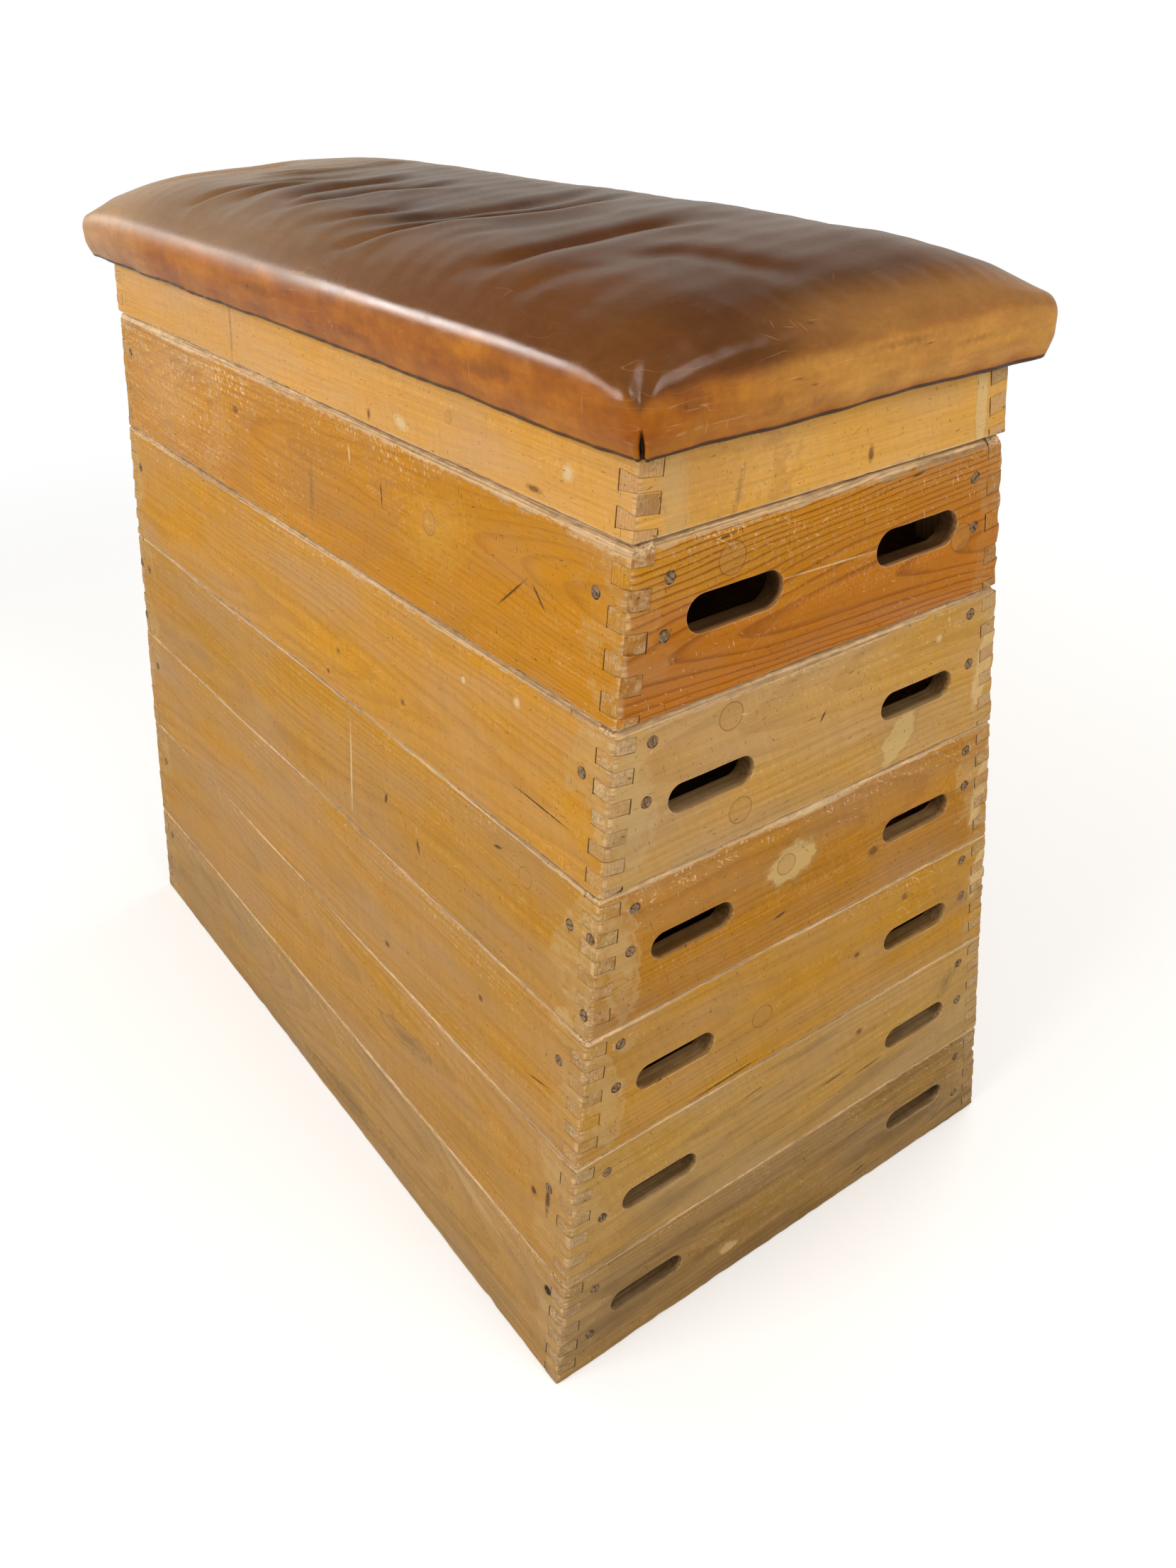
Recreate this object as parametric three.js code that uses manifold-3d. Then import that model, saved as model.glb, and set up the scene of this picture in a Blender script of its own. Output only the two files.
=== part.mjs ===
// Vaulting box: six stacked wooden sections under a padded top section covered in leather.
// Millimetres, +Z up. The origin lies on the floor under the middle; +X runs along the length.
// Front is the end at +X, left is the long side at +Y. The long sides lean inwards, the ends are upright.
import * as THREE from 'three';
import { mergeVertices } from 'three/addons/utils/BufferGeometryUtils.js';
import Module from 'manifold-3d';

const wasm = await Module();
wasm.setup();

// The stack as a whole
const frameLength = 1187;
const baseWidth = 684;
const topWidth = 413;
const topFrameHeight = 74;

// Gap between pieces that touch, and how far a cutter runs past a face
const clearance = 0.3;
const overrun = 6;

// Boards and their worn edges
const boardThickness = 23;
const edgeEase = 2;
const cornerEase = 2;

// Corner joints: pins are the end board's fingers, counted down from the top edge of a section.
// firstPin is the depth of the first pin's middle; a dovetail pin is taller at its root than at its tip.
const fingerJoint = { firstPin: -1.2, pitch: 28.8, rootHeight: 14.4, tipHeight: 14.4 };
const wideJoint = { firstPin: 27, pitch: 36, rootHeight: 18, tipHeight: 18 };
const dovetailJoint = { firstPin: 28.5, pitch: 28.5, rootHeight: 17, tipHeight: 11 };

// Hand slots with round ends, two in each end board
const handSlot = { length: 100, height: 30, rise: 72 };
const tallHandSlot = { length: 106, height: 35, rise: 81 };
const slotInset = 117;

// Sections from the floor up, then the frame that carries the padded top
const sectionHeights = { first: 150, second: 160, third: 155, fourth: 154, fifth: 160, sixth: 157 };
const wornLedge = 9;
const lowerSection = { topEase: edgeEase, joint: fingerJoint, slot: handSlot };
const upperSection = { topEase: wornLedge, joint: wideJoint, slot: tallHandSlot };
const sections = [
  { name: 'section_1', height: sectionHeights.first, color: 0xb08a52, ...lowerSection },
  { name: 'section_2', height: sectionHeights.second, color: 0xb48f58, ...lowerSection },
  { name: 'section_3', height: sectionHeights.third, color: 0xc08f4c, ...lowerSection },
  { name: 'section_4', height: sectionHeights.fourth, color: 0xbf8440, ...lowerSection },
  { name: 'section_5', height: sectionHeights.fifth, color: 0xc9995a, ...lowerSection },
  { name: 'section_6', height: sectionHeights.sixth, color: 0xc68230, ...upperSection },
];
const topFrame = {
  name: 'top',
  height: topFrameHeight,
  topEase: edgeEase,
  joint: dovetailJoint,
  slot: null,
  color: 0xcf9350,
};

// Corner posts stand on the inner corner of a section and reach into the section above
const postSize = 34;
const postLift = 52;
const postProjection = 40;
const postSlim = 1.2;
const postTip = 9;
const postTaper = 7;
const blockHeight = 28;
const postColor = 0xb5935f;

// Padded top: leather drawn over a stuffed pad and turned under the edge of the deck board
const padOverhangEnd = 33;
const padOverhangSide = 28.5;
const padCorner = 21;
const padRim = 18;
const padCrown = 50;
const flankHeight = 34;
const flankBulgeHeight = 23;
const hemDraw = 7;
const hemTurn = 15;
const leatherThickness = 3;
const paddingClearance = 0.6;
const deckThickness = 12;
const crownSidePower = 5.3;
const crownEndPower = 10;
const lengthSteps = 15;
const widthSteps = 6;
const rimSteps = 3;
const deckColor = 0xb9965f;
const paddingColor = 0x8a8378;
const leatherColor = 0x6e4326;

// Soft creases across the leather: place, skew and bow are shares of half the pad's length
const creases = [
  { placeShare: 0.13, skewShare: 0, bowShare: 0.12, depth: 6, reach: 30 },
  { placeShare: 0.44, skewShare: 0, bowShare: 0.12, depth: 4, reach: 34 },
  { placeShare: -0.62, skewShare: 0.25, bowShare: 0, depth: 3, reach: 40 },
];

// Worked out from the sizes above
const frameTop = sections.reduce((sum, section) => sum + section.height, 0) + topFrameHeight;
const leanShare = (baseWidth - topWidth) / 2 / frameTop;
const leanAngle = Math.atan(leanShare);
const sideRun = boardThickness / Math.cos(leanAngle);
const halfLength = frameLength / 2;
const padHalfLength = halfLength + padOverhangEnd;
const padHalfWidth = topWidth / 2 + padOverhangSide;
const deckBottom = frameTop;
const cavityBottom = deckBottom - clearance;
const hemBottom = cavityBottom - leatherThickness;
const flankTop = deckBottom + flankHeight;
const flankMiddle = deckBottom + flankBulgeHeight;

function halfWidthAt(z) {
  return baseWidth / 2 - leanShare * z;
}

function solid(geometry) {
  const bare = geometry.clone();
  bare.deleteAttribute('normal');
  bare.deleteAttribute('uv');
  const merged = mergeVertices(bare);
  const vertProperties = new Float32Array(merged.attributes.position.array);
  const triVerts = new Uint32Array(merged.index.array);
  return new wasm.Manifold(new wasm.Mesh({ numProp: 3, vertProperties, triVerts }));
}

function piece(name, body, color, roughness) {
  const { numProp, vertProperties, triVerts } = body.getMesh();
  const geometry = new THREE.BufferGeometry();
  geometry.setAttribute('position', new THREE.BufferAttribute(vertProperties, numProp));
  geometry.setIndex(new THREE.BufferAttribute(triVerts, 1));
  geometry.computeVertexNormals();
  const material = new THREE.MeshStandardMaterial({ color, roughness, metalness: 0 });
  const mesh = new THREE.Mesh(geometry, material);
  mesh.name = name;
  return mesh;
}

// A shape drawn with its own X and Y along two given directions, extruded evenly to both sides of them
function extrudedBothWays(shape, depth, directionX, directionY) {
  const geometry = new THREE.ExtrudeGeometry(shape, { depth, bevelEnabled: false, curveSegments: 7 });
  geometry.translate(0, 0, -depth / 2);
  const directionZ = new THREE.Vector3().crossVectors(directionX, directionY);
  return geometry.applyMatrix4(new THREE.Matrix4().makeBasis(directionX, directionY, directionZ));
}

function polygon(points) {
  return new THREE.Shape(points.map(([x, y]) => new THREE.Vector2(x, y)));
}

// A closed body through level rings of corners, lowest ring first, each counter-clockwise from above
function loft(rings) {
  const count = rings[0].length;
  const positions = new Float32Array(rings.flat().flatMap(([x, y, z]) => [x, y, z]));
  const index = [];
  for (let level = 0; level < rings.length - 1; level += 1) {
    for (let k = 0; k < count; k += 1) {
      const here = level * count + k;
      const next = level * count + ((k + 1) % count);
      index.push(here, next, next + count, here, next + count, here + count);
    }
  }
  const last = (rings.length - 1) * count;
  for (let k = 1; k < count - 1; k += 1) {
    index.push(0, k + 1, k, last, last + k, last + k + 1);
  }
  const geometry = new THREE.BufferGeometry();
  geometry.setAttribute('position', new THREE.BufferAttribute(positions, 3));
  geometry.setIndex(index);
  return geometry;
}

// The outer form of one section, closed across, with eased edges and corners
function sectionForm(tier) {
  const ring = (z, inset) => {
    const x = halfLength - inset;
    const y = halfWidthAt(z) - inset;
    return [
      [x, -y + cornerEase, z],
      [x, y - cornerEase, z],
      [x - cornerEase, y, z],
      [-x + cornerEase, y, z],
      [-x, y - cornerEase, z],
      [-x, -y + cornerEase, z],
      [-x + cornerEase, -y, z],
      [x - cornerEase, -y, z],
    ];
  };
  return solid(loft([
    ring(tier.bottom, edgeEase),
    ring(tier.bottom + edgeEase, 0),
    ring(tier.top - tier.topEase, 0),
    ring(tier.top, tier.topEase),
  ]));
}

// The leaning slab that a long side board is cut from; growth thickens it inwards
function sideSlab(tier, side, growth) {
  const low = tier.bottom - overrun;
  const high = tier.top + overrun;
  const profile = polygon([
    [side * (halfWidthAt(low) - sideRun - growth), low],
    [side * (halfWidthAt(low) + overrun), low],
    [side * (halfWidthAt(high) + overrun), high],
    [side * (halfWidthAt(high) - sideRun - growth), high],
  ]);
  const length = frameLength + 2 * overrun;
  return solid(extrudedBothWays(profile, length, new THREE.Vector3(0, 1, 0), new THREE.Vector3(0, 0, 1)));
}

// The end board's pins at one corner, square to the leaning side board; growth adds room round them
function cornerPins(tier, side, end, growth) {
  const { firstPin, pitch, rootHeight, tipHeight } = tier.joint;
  const rootX = halfLength - boardThickness - growth;
  const tipX = halfLength + overrun;
  const rootHalf = rootHeight / 2 + growth;
  const spread = (tipHeight - rootHeight) / 2 / boardThickness;
  const tipHalf = rootHalf + spread * (tipX - rootX);
  const upSlope = new THREE.Vector3(0, -side * Math.sin(leanAngle), Math.cos(leanAngle));
  const depth = 4 * boardThickness;
  let pins = null;
  for (let down = firstPin; down - rootHalf < tier.top - tier.bottom; down += pitch) {
    const along = (tier.top - down) / Math.cos(leanAngle);
    const outline = polygon([
      [rootX, along - rootHalf],
      [tipX, along - tipHalf],
      [tipX, along + tipHalf],
      [rootX, along + rootHalf],
    ]);
    const geometry = extrudedBothWays(outline, depth, new THREE.Vector3(end, 0, 0), upSlope);
    geometry.translate(0, side * baseWidth / 2, 0);
    pins = pins ? pins.add(solid(geometry)) : solid(geometry);
  }
  return pins;
}

function sideBoard(tier, form, side) {
  const slab = sideSlab(tier, side, 0).intersect(form);
  return [1, -1].reduce((body, end) => body.subtract(cornerPins(tier, side, end, clearance)), slab);
}

// One hand slot's cutter, an outline with round ends that runs through the end board
function slotCutter(tier, side, end) {
  const { length, height, rise } = tier.slot;
  const z = tier.bottom + rise;
  const y = side * (halfWidthAt(z) - slotInset);
  const radius = height / 2;
  const straight = length / 2 - radius;
  const outline = new THREE.Shape();
  outline.moveTo(y - straight, z - radius);
  outline.lineTo(y + straight, z - radius);
  outline.absarc(y + straight, z, radius, -Math.PI / 2, Math.PI / 2, false);
  outline.lineTo(y - straight, z + radius);
  outline.absarc(y - straight, z, radius, Math.PI / 2, 3 * Math.PI / 2, false);
  const depth = boardThickness + 2 * overrun;
  const geometry = extrudedBothWays(outline, depth, new THREE.Vector3(0, 1, 0), new THREE.Vector3(0, 0, 1));
  return solid(geometry.translate(end * (halfLength - boardThickness / 2), 0, 0));
}

function endBoard(tier, form, end) {
  const plate = new THREE.BoxGeometry(boardThickness + overrun, baseWidth + overrun, tier.height + overrun);
  plate.translate(end * (halfLength - boardThickness + (boardThickness + overrun) / 2), 0, 0);
  plate.translate(0, 0, (tier.bottom + tier.top) / 2);
  let body = solid(plate).intersect(form);
  for (const side of [1, -1]) {
    body = body.subtract(sideSlab(tier, side, clearance).subtract(cornerPins(tier, side, end, 0)));
    if (tier.slot) {
      body = body.subtract(slotCutter(tier, side, end));
    }
  }
  return body;
}

// A square of wood in the inner corner that leans with the side board; levels hold height and slimming
function cornerWood(side, end, levels) {
  const x = end * (halfLength - boardThickness - clearance - postSize / 2);
  return solid(loft(levels.map(({ z, slim }) => {
    const y = side * (halfWidthAt(z) - sideRun - clearance - postSize / 2);
    const half = postSize / 2 - slim;
    return [
      [x - half, y - half, z],
      [x + half, y - half, z],
      [x + half, y + half, z],
      [x - half, y + half, z],
    ];
  })));
}

function cornerPost(tier, side, end) {
  return cornerWood(side, end, [
    { z: tier.bottom + postLift, slim: 0 },
    { z: tier.top - edgeEase, slim: 0 },
    { z: tier.top, slim: postSlim },
    { z: tier.top + postProjection - postTip, slim: postSlim },
    { z: tier.top + postProjection, slim: postTaper },
  ]);
}

function cornerBlock(tier, side, end) {
  return cornerWood(side, end, [
    { z: tier.top - blockHeight, slim: 0 },
    { z: tier.top, slim: 0 },
  ]);
}

// Grid lines across half a cushion and back: close together round the rim, even between the corners
function gridLines(half, rim, corner, steps) {
  const edge = [];
  for (let k = 0; k <= rimSteps; k += 1) {
    edge.push(half - rim * (1 - Math.cos(k / rimSteps * Math.PI / 2)));
  }
  const inner = half - corner;
  const middle = [];
  for (let k = 0; k <= steps; k += 1) {
    middle.push(inner - 2 * inner * k / steps);
  }
  return [...edge, ...middle, ...edge.map((value) => -value).reverse()];
}

// Where a grid point lies in plan: square corners are drawn in to quarter circles
function planPoint(x, y, halfX, halfY, corner) {
  const dx = Math.abs(x) - (halfX - corner);
  const dy = Math.abs(y) - (halfY - corner);
  if (dx <= 0 || dy <= 0) {
    return { x, y, inside: Math.min(halfX - Math.abs(x), halfY - Math.abs(y)) };
  }
  const reach = Math.max(dx, dy);
  const pull = reach / Math.hypot(dx, dy);
  return {
    x: Math.sign(x) * (halfX - corner + dx * pull),
    y: Math.sign(y) * (halfY - corner + dy * pull),
    inside: corner - reach,
  };
}

// Height of the crown over the rim: flat in the middle, falling to the sides and ends, with its creases
function crownAt(x, y) {
  const u = Math.min(Math.abs(x) / padHalfLength, 1);
  const v = Math.min(Math.abs(y) / padHalfWidth, 1);
  const rise = padCrown * (1 - v ** crownSidePower) * (1 - u ** crownEndPower);
  const nearSide = Math.max(-y / padHalfWidth, 0);
  return creases.reduce((height, crease) => {
    const { placeShare, skewShare, bowShare, depth, reach } = crease;
    const skew = skewShare * y / padHalfWidth;
    const line = padHalfLength * (placeShare - skew + bowShare * nearSide ** 2);
    return height - depth * Math.exp(-(((x - line) / reach) ** 2)) * (1 - v ** 2) * (1 - u ** 2);
  }, rise);
}

// How far the flank is drawn in at a height: fullest at its middle, tightest at the hem
function flankDraw(z) {
  return hemDraw * Math.max(flankMiddle - z, 0) / (flankMiddle - hemBottom);
}

// Boundary of a cushion in plan, counter-clockwise, as grid positions that its top shares
function boundaryOrder(columns, rows) {
  const order = [];
  for (let i = 0; i < columns - 1; i += 1) {
    order.push([i, rows - 1]);
  }
  for (let j = rows - 1; j > 0; j -= 1) {
    order.push([columns - 1, j]);
  }
  for (let i = columns - 1; i > 0; i -= 1) {
    order.push([i, 0]);
  }
  for (let j = 0; j < rows - 1; j += 1) {
    order.push([0, j]);
  }
  return order.reverse();
}

// The grid of a cushion whose surface lies inset behind the leather's outer face
function cushionGrid(inset) {
  const halfX = padHalfLength - inset;
  const halfY = padHalfWidth - inset;
  const rim = padRim - inset;
  const corner = padCorner - inset;
  const xLines = gridLines(halfX, rim, corner, lengthSteps).reverse();
  const yLines = gridLines(halfY, rim, corner, widthSteps).reverse();
  const points = xLines.map((x) => yLines.map((y) => {
    const plan = planPoint(x, y, halfX, halfY, corner);
    const fall = 1 - Math.min(plan.inside / rim, 1);
    const z = flankTop + rim * Math.sqrt(Math.max(1 - fall ** 2, 0)) + crownAt(plan.x, plan.y);
    return [plan.x, plan.y, plan.inside > 0 ? z : flankTop];
  }));
  return { points, order: boundaryOrder(xLines.length, yLines.length) };
}

// Boundary ring of a cushion at a height on its flank
function flankRing(grid, z) {
  const draw = flankDraw(z);
  const scaleX = 1 - draw / padHalfLength;
  const scaleY = 1 - draw / padHalfWidth;
  return grid.order.map(([i, j]) => [grid.points[i][j][0] * scaleX, grid.points[i][j][1] * scaleY, z]);
}

// Closed cushion: its top grid, the flank down to the bottom height, and a flat underside
function cushion(inset, bottom) {
  const grid = cushionGrid(inset);
  const rows = grid.points[0].length;
  const columns = grid.points.length;
  const vertices = grid.points.flat();
  const index = [];
  for (let i = 0; i < columns - 1; i += 1) {
    for (let j = 0; j < rows - 1; j += 1) {
      const here = i * rows + j;
      const across = here + rows;
      index.push(here, across, across + 1, here, across + 1, here + 1);
    }
  }
  const levels = [flankMiddle, bottom];
  let upper = grid.order.map(([i, j]) => i * rows + j);
  for (const z of levels) {
    const lower = upper.map((_, k) => vertices.length + k);
    vertices.push(...flankRing(grid, z));
    for (let k = 0; k < upper.length; k += 1) {
      const next = (k + 1) % upper.length;
      index.push(upper[k], lower[k], lower[next], upper[k], lower[next], upper[next]);
    }
    upper = lower;
  }
  for (let k = 1; k < upper.length - 1; k += 1) {
    index.push(upper[0], upper[k + 1], upper[k]);
  }
  const geometry = new THREE.BufferGeometry();
  const positions = new Float32Array(vertices.flat());
  geometry.setAttribute('position', new THREE.BufferAttribute(positions, 3));
  geometry.setIndex(index);
  return solid(geometry);
}

// Leather: one skin over the crown and flanks, turned under all round, open over the frame below
function leatherCover() {
  const opening = new THREE.BoxGeometry(
    2 * (padHalfLength - hemDraw - hemTurn),
    2 * (padHalfWidth - hemDraw - hemTurn),
    leatherThickness + overrun,
  );
  opening.translate(0, 0, cavityBottom + clearance / 2 - (leatherThickness + overrun) / 2);
  return cushion(0, hemBottom).subtract(cushion(leatherThickness, cavityBottom)).subtract(solid(opening));
}

function deckBoard() {
  const grid = cushionGrid(leatherThickness + clearance);
  const outline = flankRing(grid, cavityBottom).map(([x, y]) => [x, y]);
  const geometry = extrudedBothWays(
    polygon(outline),
    deckThickness,
    new THREE.Vector3(1, 0, 0),
    new THREE.Vector3(0, 1, 0),
  );
  return solid(geometry.translate(0, 0, deckBottom + deckThickness / 2));
}

const vaultingBox = new THREE.Group();
const sideNames = new Map([[1, 'left'], [-1, 'right']]);
const endNames = new Map([[1, 'front'], [-1, 'back']]);
let level = 0;
for (const section of [...sections, topFrame]) {
  const tier = { ...section, bottom: level, top: level + section.height - clearance };
  const form = sectionForm(tier);
  const group = new THREE.Group();
  for (const [side, sideName] of sideNames) {
    group.add(piece(`${tier.name}_side_board_${sideName}`, sideBoard(tier, form, side), tier.color, 0.5));
  }
  for (const [end, endName] of endNames) {
    group.add(piece(`${tier.name}_end_board_${endName}`, endBoard(tier, form, end), tier.color, 0.5));
    for (const [side, sideName] of sideNames) {
      const isTop = tier.slot === null;
      const body = isTop ? cornerBlock(tier, side, end) : cornerPost(tier, side, end);
      const kind = isTop ? 'corner_block' : 'corner_post';
      group.add(piece(`${tier.name}_${kind}_${endName}_${sideName}`, body, postColor, 0.65));
    }
  }
  vaultingBox.add(group);
  level += section.height;
}

const paddedTop = new THREE.Group();
paddedTop.add(piece('deck_board', deckBoard(), deckColor, 0.65));
const paddingInset = leatherThickness + paddingClearance;
paddedTop.add(piece('padding', cushion(paddingInset, deckBottom + deckThickness + clearance), paddingColor, 0.95));
paddedTop.add(piece('leather_cover', leatherCover(), leatherColor, 0.38));
vaultingBox.add(paddedTop);

export default vaultingBox;
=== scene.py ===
import math

import bmesh
import bpy
import numpy as np
from mathutils import Matrix, Vector


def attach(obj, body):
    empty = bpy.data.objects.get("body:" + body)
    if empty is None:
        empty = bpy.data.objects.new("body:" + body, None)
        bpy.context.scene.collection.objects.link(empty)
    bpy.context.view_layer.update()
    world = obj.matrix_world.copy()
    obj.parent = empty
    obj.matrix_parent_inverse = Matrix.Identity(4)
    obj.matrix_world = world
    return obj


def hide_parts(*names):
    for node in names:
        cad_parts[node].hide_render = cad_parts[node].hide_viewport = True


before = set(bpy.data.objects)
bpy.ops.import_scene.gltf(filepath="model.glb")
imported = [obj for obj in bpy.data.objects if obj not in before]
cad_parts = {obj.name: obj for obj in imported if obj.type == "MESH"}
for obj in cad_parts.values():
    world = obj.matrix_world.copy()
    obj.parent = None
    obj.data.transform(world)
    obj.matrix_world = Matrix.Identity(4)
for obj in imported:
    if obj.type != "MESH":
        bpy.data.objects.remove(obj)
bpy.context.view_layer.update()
print("frame loaded")

mm = 0.001
scene = bpy.context.scene
scene.view_settings.view_transform = "Standard"

camera = {
    "place": (1.328658, -0.772905, 1.295559),
    "right": (0.584866, 0.810345, -0.03568),
    "up": (-0.408743, 0.332434, 0.849951),
    "lens": 29.5,
}


def makeCamera(spec):
    # A camera from its place and the directions of its picture's right and top edges.
    data = bpy.data.cameras.new("camera")
    data.lens = spec["lens"]
    thing = bpy.data.objects.new("camera", data)
    scene.collection.objects.link(thing)
    right, up = Vector(spec["right"]), Vector(spec["up"])
    turn = Matrix((right, up, right.cross(up))).transposed().to_4x4()
    thing.matrix_world = Matrix.Translation(spec["place"]) @ turn
    scene.camera = thing


lamps = {
    "window": {"place": (-2.05, -1.5, 1.86), "aim": (0.2, -0.235, 1.05), "size": (1.9, 0.045), "power": 14,
               "mirrored": False, "lights": True},
    "glint": {"place": (-1.972, -1.598, 1.923), "aim": (0.278, -0.333, 1.113), "size": (1.62, 0.34), "power": 33,
              "mirrored": True, "lights": False},
    "ceiling": {"place": (0.85, 0.2, 2.45), "aim": (0.6, 0.05, 1.06), "size": (0.26, 0.9), "power": 11,
                "mirrored": True, "lights": False},
    "side": {"place": (0.3, -3.6, 2.5), "aim": (0, -0.2, 0.6), "size": (2.6, 2.2), "power": 87, "mirrored": False,
             "lights": True},
    "front": {"place": (3.6, 0.5, 2.7), "aim": (0.4, 0, 0.6), "size": (2.0, 2.0), "power": 62, "mirrored": False,
              "lights": True},
    "back": {"place": (-0.6, 3.6, 2.6), "aim": (0, 0.2, 0.6), "size": (2.6, 2.2), "power": 48, "mirrored": False,
             "lights": True},
}


def makeLamp(name, spec):
    data = bpy.data.lights.new(name, "AREA")
    data.shape = "RECTANGLE"
    data.size, data.size_y = spec["size"]
    data.energy = spec["power"]
    thing = bpy.data.objects.new(name, data)
    scene.collection.objects.link(thing)
    away = Vector(spec["place"]) - Vector(spec["aim"])
    # the glint and the ceiling strip light nothing and only show in reflections, most of all on the pad's polished rim
    thing.visible_glossy, thing.visible_diffuse = spec["mirrored"], spec["lights"]
    # the lamp's face looks at the aim; its long side stays level, or on a mirrored lamp runs as the box does
    back = away.normalized()
    level = Vector((0, 0, 1)).cross(back).normalized()
    if spec["mirrored"]:
        level = (Vector((1, 0, 0)) - back * back.x).normalized()
    turn = Matrix((level, back.cross(level), back)).transposed().to_4x4()
    thing.matrix_world = Matrix.Translation(spec["place"]) @ turn


makeCamera(camera)
for lampName, lampSpec in lamps.items():
    makeLamp(lampName, lampSpec)


# Small helpers for node trees

def linear(tone, shares=(1, 1, 1)):
    # A display colour from 0 to 255, times a share for each channel, as the linear colour that a shader takes.
    parts = [channel * share / 255 for channel, share in zip(tone, shares)]
    return (*[p / 12.92 if p <= 0.04045 else ((p + 0.055) / 1.055) ** 2.4 for p in parts], 1)


class Nodes:
    # Short calls that each add a node to a material or a world and return its output.

    def __init__(self, owner):
        owner.use_nodes = True
        self.owner, self.tree = owner, owner.node_tree

    def add(self, kind, sockets=(), output=0, **settings):
        made = self.tree.nodes.new(kind)
        for key, value in settings.items():
            setattr(made, key, value)
        for key, value in dict(sockets).items():
            self.feed(made.inputs[key], value)
        return made.outputs if output is None else made.outputs[output]

    def feed(self, socket, value):
        if isinstance(value, bpy.types.NodeSocket):
            self.tree.links.new(value, socket)
        elif value is not None:
            socket.default_value = value

    def math(self, operation, first, second=None, third=None):
        return self.add("ShaderNodeMath", {0: first, 1: second, 2: third}, operation=operation)

    def times(self, first, second):
        return self.math("MULTIPLY", first, second)

    def most(self, first, second):
        return self.math("MAXIMUM", first, second)

    def sum(self, value, share, start):
        # start + share * value
        return self.math("MULTIPLY_ADD", value, share, start)

    def sway(self, noise, amount, start):
        # start, moved by a noise's distance from its middle
        return self.sum(self.math("SUBTRACT", noise, 0.5), amount, start)

    def off(self, value, middle):
        return self.math("ABSOLUTE", self.math("SUBTRACT", value, middle))

    def vector(self, operation, first, second=None, output=0):
        return self.add("ShaderNodeVectorMath", {0: first, 1: second}, output, operation=operation)

    def join(self, x, y, z):
        return self.add("ShaderNodeCombineXYZ", {0: x, 1: y, 2: z})

    def split(self, vector):
        return self.add("ShaderNodeSeparateXYZ", {0: vector}, None)

    def paths(self):
        return self.add("ShaderNodeLightPath", output=None)

    def read(self, name):
        return self.add("ShaderNodeAttribute", output="Vector", attribute_name=name)

    def noise(self, vector, scale, detail=2.0, rough=0.5, output=0):
        sockets = {"Vector": vector, "Scale": scale, "Detail": detail, "Roughness": rough}
        return self.add("ShaderNodeTexNoise", sockets, output)

    def stretch(self, vector, scales, shift=(0, 0, 0), turn=(0, 0, 0)):
        sockets = {"Vector": vector, "Scale": scales, "Location": shift, "Rotation": turn}
        return self.add("ShaderNodeMapping", sockets)

    def placed(self, vector, where, turn, sizes):
        # The vector in a frame of its own: moved, turned in the plane and measured in the given sizes
        sockets = {"Vector": vector, "Location": where, "Rotation": (0, 0, turn), "Scale": sizes}
        return self.add("ShaderNodeMapping", sockets, vector_type="TEXTURE")

    def shade(self, color, value, **more):
        return self.add("ShaderNodeHueSaturation", {"Color": color, "Value": value, **more})

    def ramp(self, value, low, high, start=0.0, end=1.0, smooth=True):
        sockets = {0: value, 1: low, 2: high, 3: start, 4: end}
        kind = "SMOOTHSTEP" if smooth else "LINEAR"
        return self.add("ShaderNodeMapRange", sockets, interpolation_type=kind)

    def mix(self, share, first, second):
        made = self.tree.nodes.new("ShaderNodeMix")
        made.data_type = "RGBA"
        for key, value in ((0, share), (6, first), (7, second)):
            self.feed(made.inputs[key], value)
        return made.outputs[2]

    def bump(self, height, strength, distance):
        return self.add("ShaderNodeBump", {"Height": height, "Strength": strength, "Distance": distance})

    def finish(self, **sockets):
        for key, value in sockets.items():
            self.feed(self.tree.nodes["Principled BSDF"].inputs[key.replace("_", " ")], value)
        return self.owner


# Pale floor that keeps the shadow, and a world that lights evenly and shows white

floorLook = {"tone": (0.8, 0.79, 0.77, 1), "lift": 0.36, "near": 1.2, "far": 3.4, "half": 30.0,
             "hollow": (0.575, 0.32), "dimmed": 0.6, "insideShade": (0.12, 0.09, 0.06, 1), "level": -0.0005}
worldLook = {"light": (1.0, 0.97, 0.92, 1), "strength": 0.36, "horizon": 0.6, "low": 0.22, "high": 0.6,
             "overhead": 0.1, "mirrored": (1.0, 0.94, 0.84, 1)}


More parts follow.
